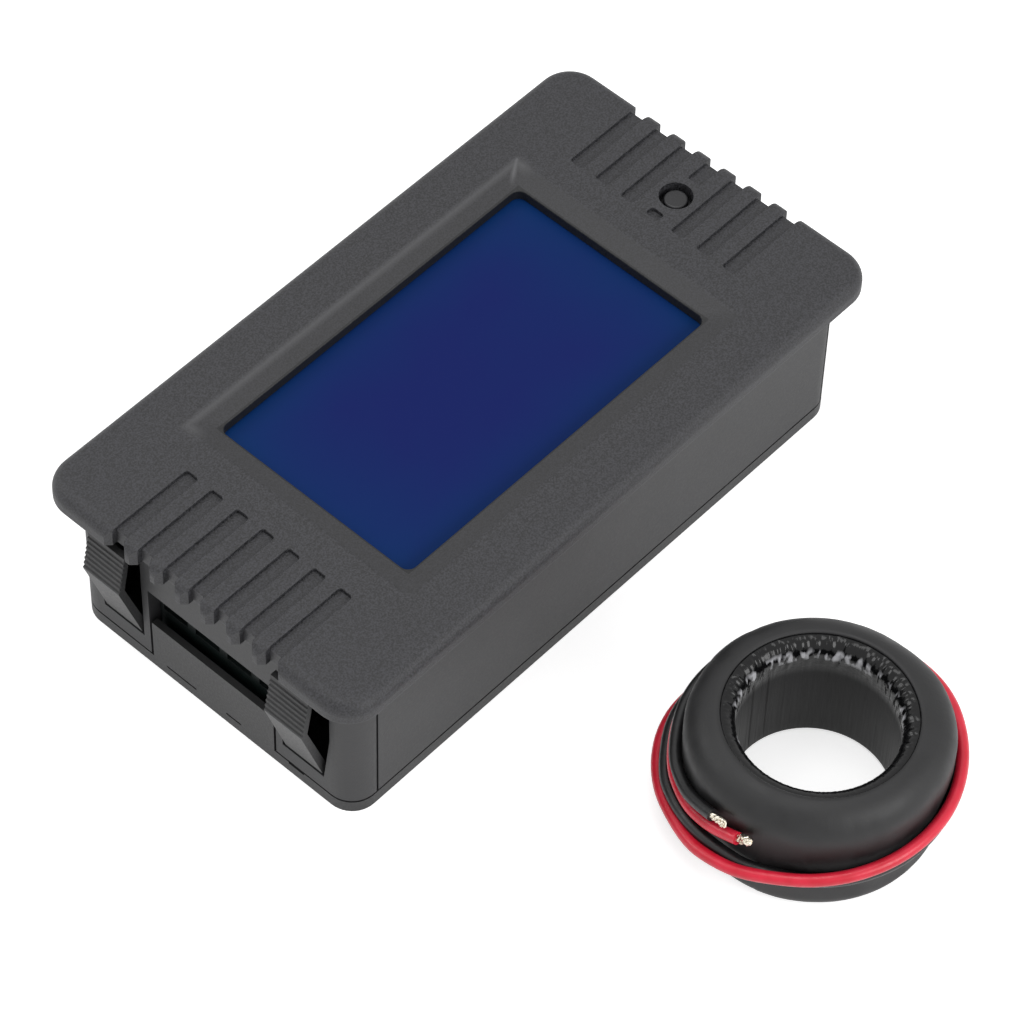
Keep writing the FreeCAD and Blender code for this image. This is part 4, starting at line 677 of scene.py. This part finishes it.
def laminate_finish():
    """Green solder mask over glass cloth: copper runs show as raised lighter lines under it."""
    material, tree, shader, where = start("solder_masked_laminate", IOR=1.55)
    weave = add(tree, "ShaderNodeTexNoise", {"Vector": where, "Scale": 1 / (0.4 * MM), "Detail": 3.0})
    runs = add(tree, "ShaderNodeTexBrick", {"Vector": where, "Scale": 60.0, "Mortar Size": 0.035,
                                            "Brick Width": 0.35, "Row Height": 0.12}, "Fac")
    mask = add(tree, "ShaderNodeMix",
               {FACTOR: runs, COLOUR_A: linear("0d4a26"), COLOUR_B: linear("1c7a3e")}, **COLOUR_MIX)
    cloth = add(tree, "ShaderNodeMapRange",
                {"Value": weave, "From Min": 0.4, "From Max": 0.7, "To Max": 0.3})
    link(tree, shader,
         Base_Color=add(tree, "ShaderNodeMix",
                        {FACTOR: cloth, COLOUR_A: mask, COLOUR_B: linear("2f8f50")}, **COLOUR_MIX),
         Roughness=add(tree, "ShaderNodeMapRange",
                       {"Value": weave, **WIDE, "To Min": 0.28, "To Max": 0.42}),
         Normal=add(tree, "ShaderNodeBump", {"Height": runs, "Distance": 0.03 * MM}))
    return material


def wound_finish(name, dark, light, rough, pitch):
    """Layers laid side by side round the ring, wire turns or alloy strip, as fine parallel lines."""
    material, tree, shader, where = start(name, Metallic=0.9)
    metre_wave = 0.314                            # the scale at which a Wave Texture's ring is a metre
    centred = add(tree, "ShaderNodeMapping", {"Vector": where, "Location": tuple(-RING)})
    lines = add(tree, "ShaderNodeTexWave", {"Vector": centred, "Scale": metre_wave / (pitch * MM),
                                            "Distortion": 1.2, "Detail": 2.0, "Detail Scale": 2.0}, "Fac",
                wave_type="RINGS", rings_direction="Z")
    clouds = add(tree, "ShaderNodeTexNoise", {"Vector": where, "Scale": 1 / (2.0 * MM), "Detail": 3.0})
    tone = add(tree, "ShaderNodeMath", {0: lines, 1: clouds}, operation="MULTIPLY")
    link(tree, shader,
         Base_Color=add(tree, "ShaderNodeMix",
                        {FACTOR: tone, COLOUR_A: linear(dark), COLOUR_B: linear(light)}, **COLOUR_MIX),
         Roughness=add(tree, "ShaderNodeMapRange",
                       {"Value": lines, "To Min": rough, "To Max": rough + 0.15}),
         Normal=add(tree, "ShaderNodeBump", {"Height": lines, "Distance": 0.05 * MM}))
    return material


def inner_finishes():
    # White polystyrene block that spreads the light behind the display.
    milky = moulded("milky_polystyrene", "d2d6da", "eef0f2", 0.32, 0.5, 0.01, Subsurface_Weight=0.2)
    # Tin-dipped copper: soft, slightly dull and wavy.
    tin = worked("tin_dipped_copper", "b4b4b0", "dcdcd8", 0.3, (1, 1, 0.15), 0.02, 0.2)
    # Zinc plate on steel screws: bluish, with turned marks round the shank.
    zinc = worked("zinc_plated_turned_steel", "9a9da2", "c4c7cc", 0.32, (1, 1, 6), 0.02, 0.3)
    # Spring steel pressed thin: bright, with a fine rolling grain.
    spring = worked("rolled_spring_steel", "a4a6a8", "d0d2d4", 0.22, (8, 1, 1), 0.01, 0.3)
    # Nickel over pressed brass: warm grey, with marks across the strip.
    nickel = worked("nickel_plated_pressed_brass", "a8a08c", "d4ccb4", 0.28, (1, 6, 1), 0.02, 0.3)
    # Can drawn from steel: smooth, with faint marks round its rim.
    can = worked("drawn_steel_can", "a2a4a6", "cfd1d3", 0.24, (1, 1, 5), 0.01, 0.3)
    # Filled epoxy of chips: very dark and fine-grained from a blasted mould.
    epoxy = moulded("moulded_filled_epoxy", "0c0c0d", "1a1a1b", 0.62, 0.12, 0.02, 1.2)
    # Box of ochre PBT round the film capacitor.
    box = moulded("moulded_ochre_pbt", "b5861a", "cc9c28", 0.4, 0.3, 0.02, 2.0)
    # Epoxy that a varistor is dipped in: glossy, with a slightly uneven skin.
    dipped = moulded("dipped_blue_epoxy", "12357a", "1b479a", 0.24, 1.0, 0.05, 1.8)
    # Cement coat of a flameproof resistor: dull and chalky.
    cement = moulded("cement_resistor_coat", "6c7a70", "8a978c", 0.6, 0.25, 0.03, 1.0)
    # Nylon of the push switch.
    black = moulded("moulded_black_nylon", "0f0f10", "1c1c1d", 0.5, 0.2, 0.02, 1.5)
    # Glass-filled nylon of the terminal block: its real dark green is darkened further to near black as
    # painted shade for the deep shadow inside the wire window, so that it shows only as a tint.
    shade_darkened_green = moulded("glass_filled_green_nylon", "050b0b", "081312", 0.42, 0.25, 0.03, 2.0)
    # PET sleeve shrunk on an aluminium can: glossy, with soft folds.
    sleeve = moulded("shrunk_pet_sleeve", "101219", "1e2230", 0.24, 1.4, 0.03, 3.0)
    finishes = {
        "light_guide": milky, "display_pins": tin, "board_screws": zinc, "switch_lid": spring,
        "switch_dome": spring, "terminal_contacts": nickel, "crystal": can, "film_capacitor": box,
        "surge_varistor": dipped, "dropper_resistor": cement, "switch_body": black, "switch_plunger": black,
        "terminal_block": shade_darkened_green, "circuit_board": laminate_finish(), "burden_resistors": epoxy,
        "controller_chip": epoxy, "metering_chip": epoxy, "memory_chip": epoxy,
        "display_driver_chip": epoxy,
        "smoothing_capacitor_1": sleeve, "smoothing_capacitor_2": sleeve,
        # Enamelled copper and alloy strip catch light as lines along their turns.
        "sensor_winding": wound_finish("enamelled_copper_turns", "5a2410", "b4622c", 0.25, 0.3),
        "sensor_core": wound_finish("wound_alloy_strip", "55565a", "8b8c90", 0.12, 0.35)}
    for number in (1, 2, 3, 4):
        finishes["clamp_cage_%d" % number] = nickel
        finishes["clamp_screw_%d" % number] = zinc
    for node, material in finishes.items():
        wear(node, material)


inner_finishes()


# Stage: a pale floor that shows white, and plain soft light

FLOOR_HALF = 3                           # metres
FLOOR_GLOW = 0.68                        # added to the floor where it is seen directly
ROOM_LIGHT, SEEN_WHITE = 0.42, 1.0       # the world's strength as light, and as it is seen
SOFTBOXES = (("overhead_softbox", (0.0, 0.1, 0.85), 0.5, 2.0),       # place and size in metres, watts
             ("front_softbox", (0.05, -0.72, 0.44), 0.5, 3.6),
             ("left_softbox", (-0.36, 0.62, 0.5), 0.4, 1.5))


def seen_directly(tree):
    """1 for what the camera sees, straight or through gloss or glass, so that it shows white there."""
    ray = add(tree, "ShaderNodeLightPath").node.outputs
    mirrored = add(tree, "ShaderNodeMath", {0: ray["Is Glossy Ray"], 1: ray["Is Transmission Ray"]},
                   operation="MAXIMUM")
    return add(tree, "ShaderNodeMath", {0: ray["Is Camera Ray"], 1: mirrored}, operation="MAXIMUM")


def floor():
    """White paper: matt, with faint clouds of fibre, and glowing only where it is seen directly."""
    form = bmesh.new()
    bmesh.ops.create_grid(form, x_segments=1, y_segments=1, size=FLOOR_HALF)
    sheet = piece("floor", form, smooth=False)
    material, tree, shader, where = start("white_paper", Roughness=0.9, Specular_IOR_Level=0.0,
                                          Emission_Color=(1, 1, 1, 1))
    fibres = add(tree, "ShaderNodeTexNoise", {"Vector": where, "Scale": 1 / (20.0 * MM)})
    link(tree, shader,
         Base_Color=add(tree, "ShaderNodeMapRange", {"Value": fibres, "To Min": 0.78, "To Max": 0.8}),
         Emission_Strength=add(tree, "ShaderNodeMath",
                               {0: seen_directly(tree), 1: FLOOR_GLOW}, operation="MULTIPLY"))
    wear(sheet, material)


def studio_light():
    world = bpy.data.worlds.new("studio")
    bpy.context.scene.world = world
    world.use_nodes = True
    tree = world.node_tree
    background = tree.nodes["Background"].inputs
    background["Color"].default_value = (1, 1, 1, 1)
    strength = add(tree, "ShaderNodeMapRange", {"Value": seen_directly(tree), "To Min": ROOM_LIGHT,
                                                "To Max": SEEN_WHITE})
    tree.links.new(strength, background["Strength"])
    for name, spot, size, power in SOFTBOXES:
        lamp = bpy.data.lights.new(name, "AREA")
        lamp.shape = "DISK"
        lamp.size = size
        lamp.energy = power
        thing = bpy.data.objects.new(name, lamp)
        thing.location = spot
        thing.rotation_mode = "QUATERNION"
        thing.rotation_quaternion = Vector(spot).to_track_quat("Z", "Y")
        bpy.context.scene.collection.objects.link(thing)


floor()
studio_light()
bpy.context.scene.view_settings.view_transform = "Standard"
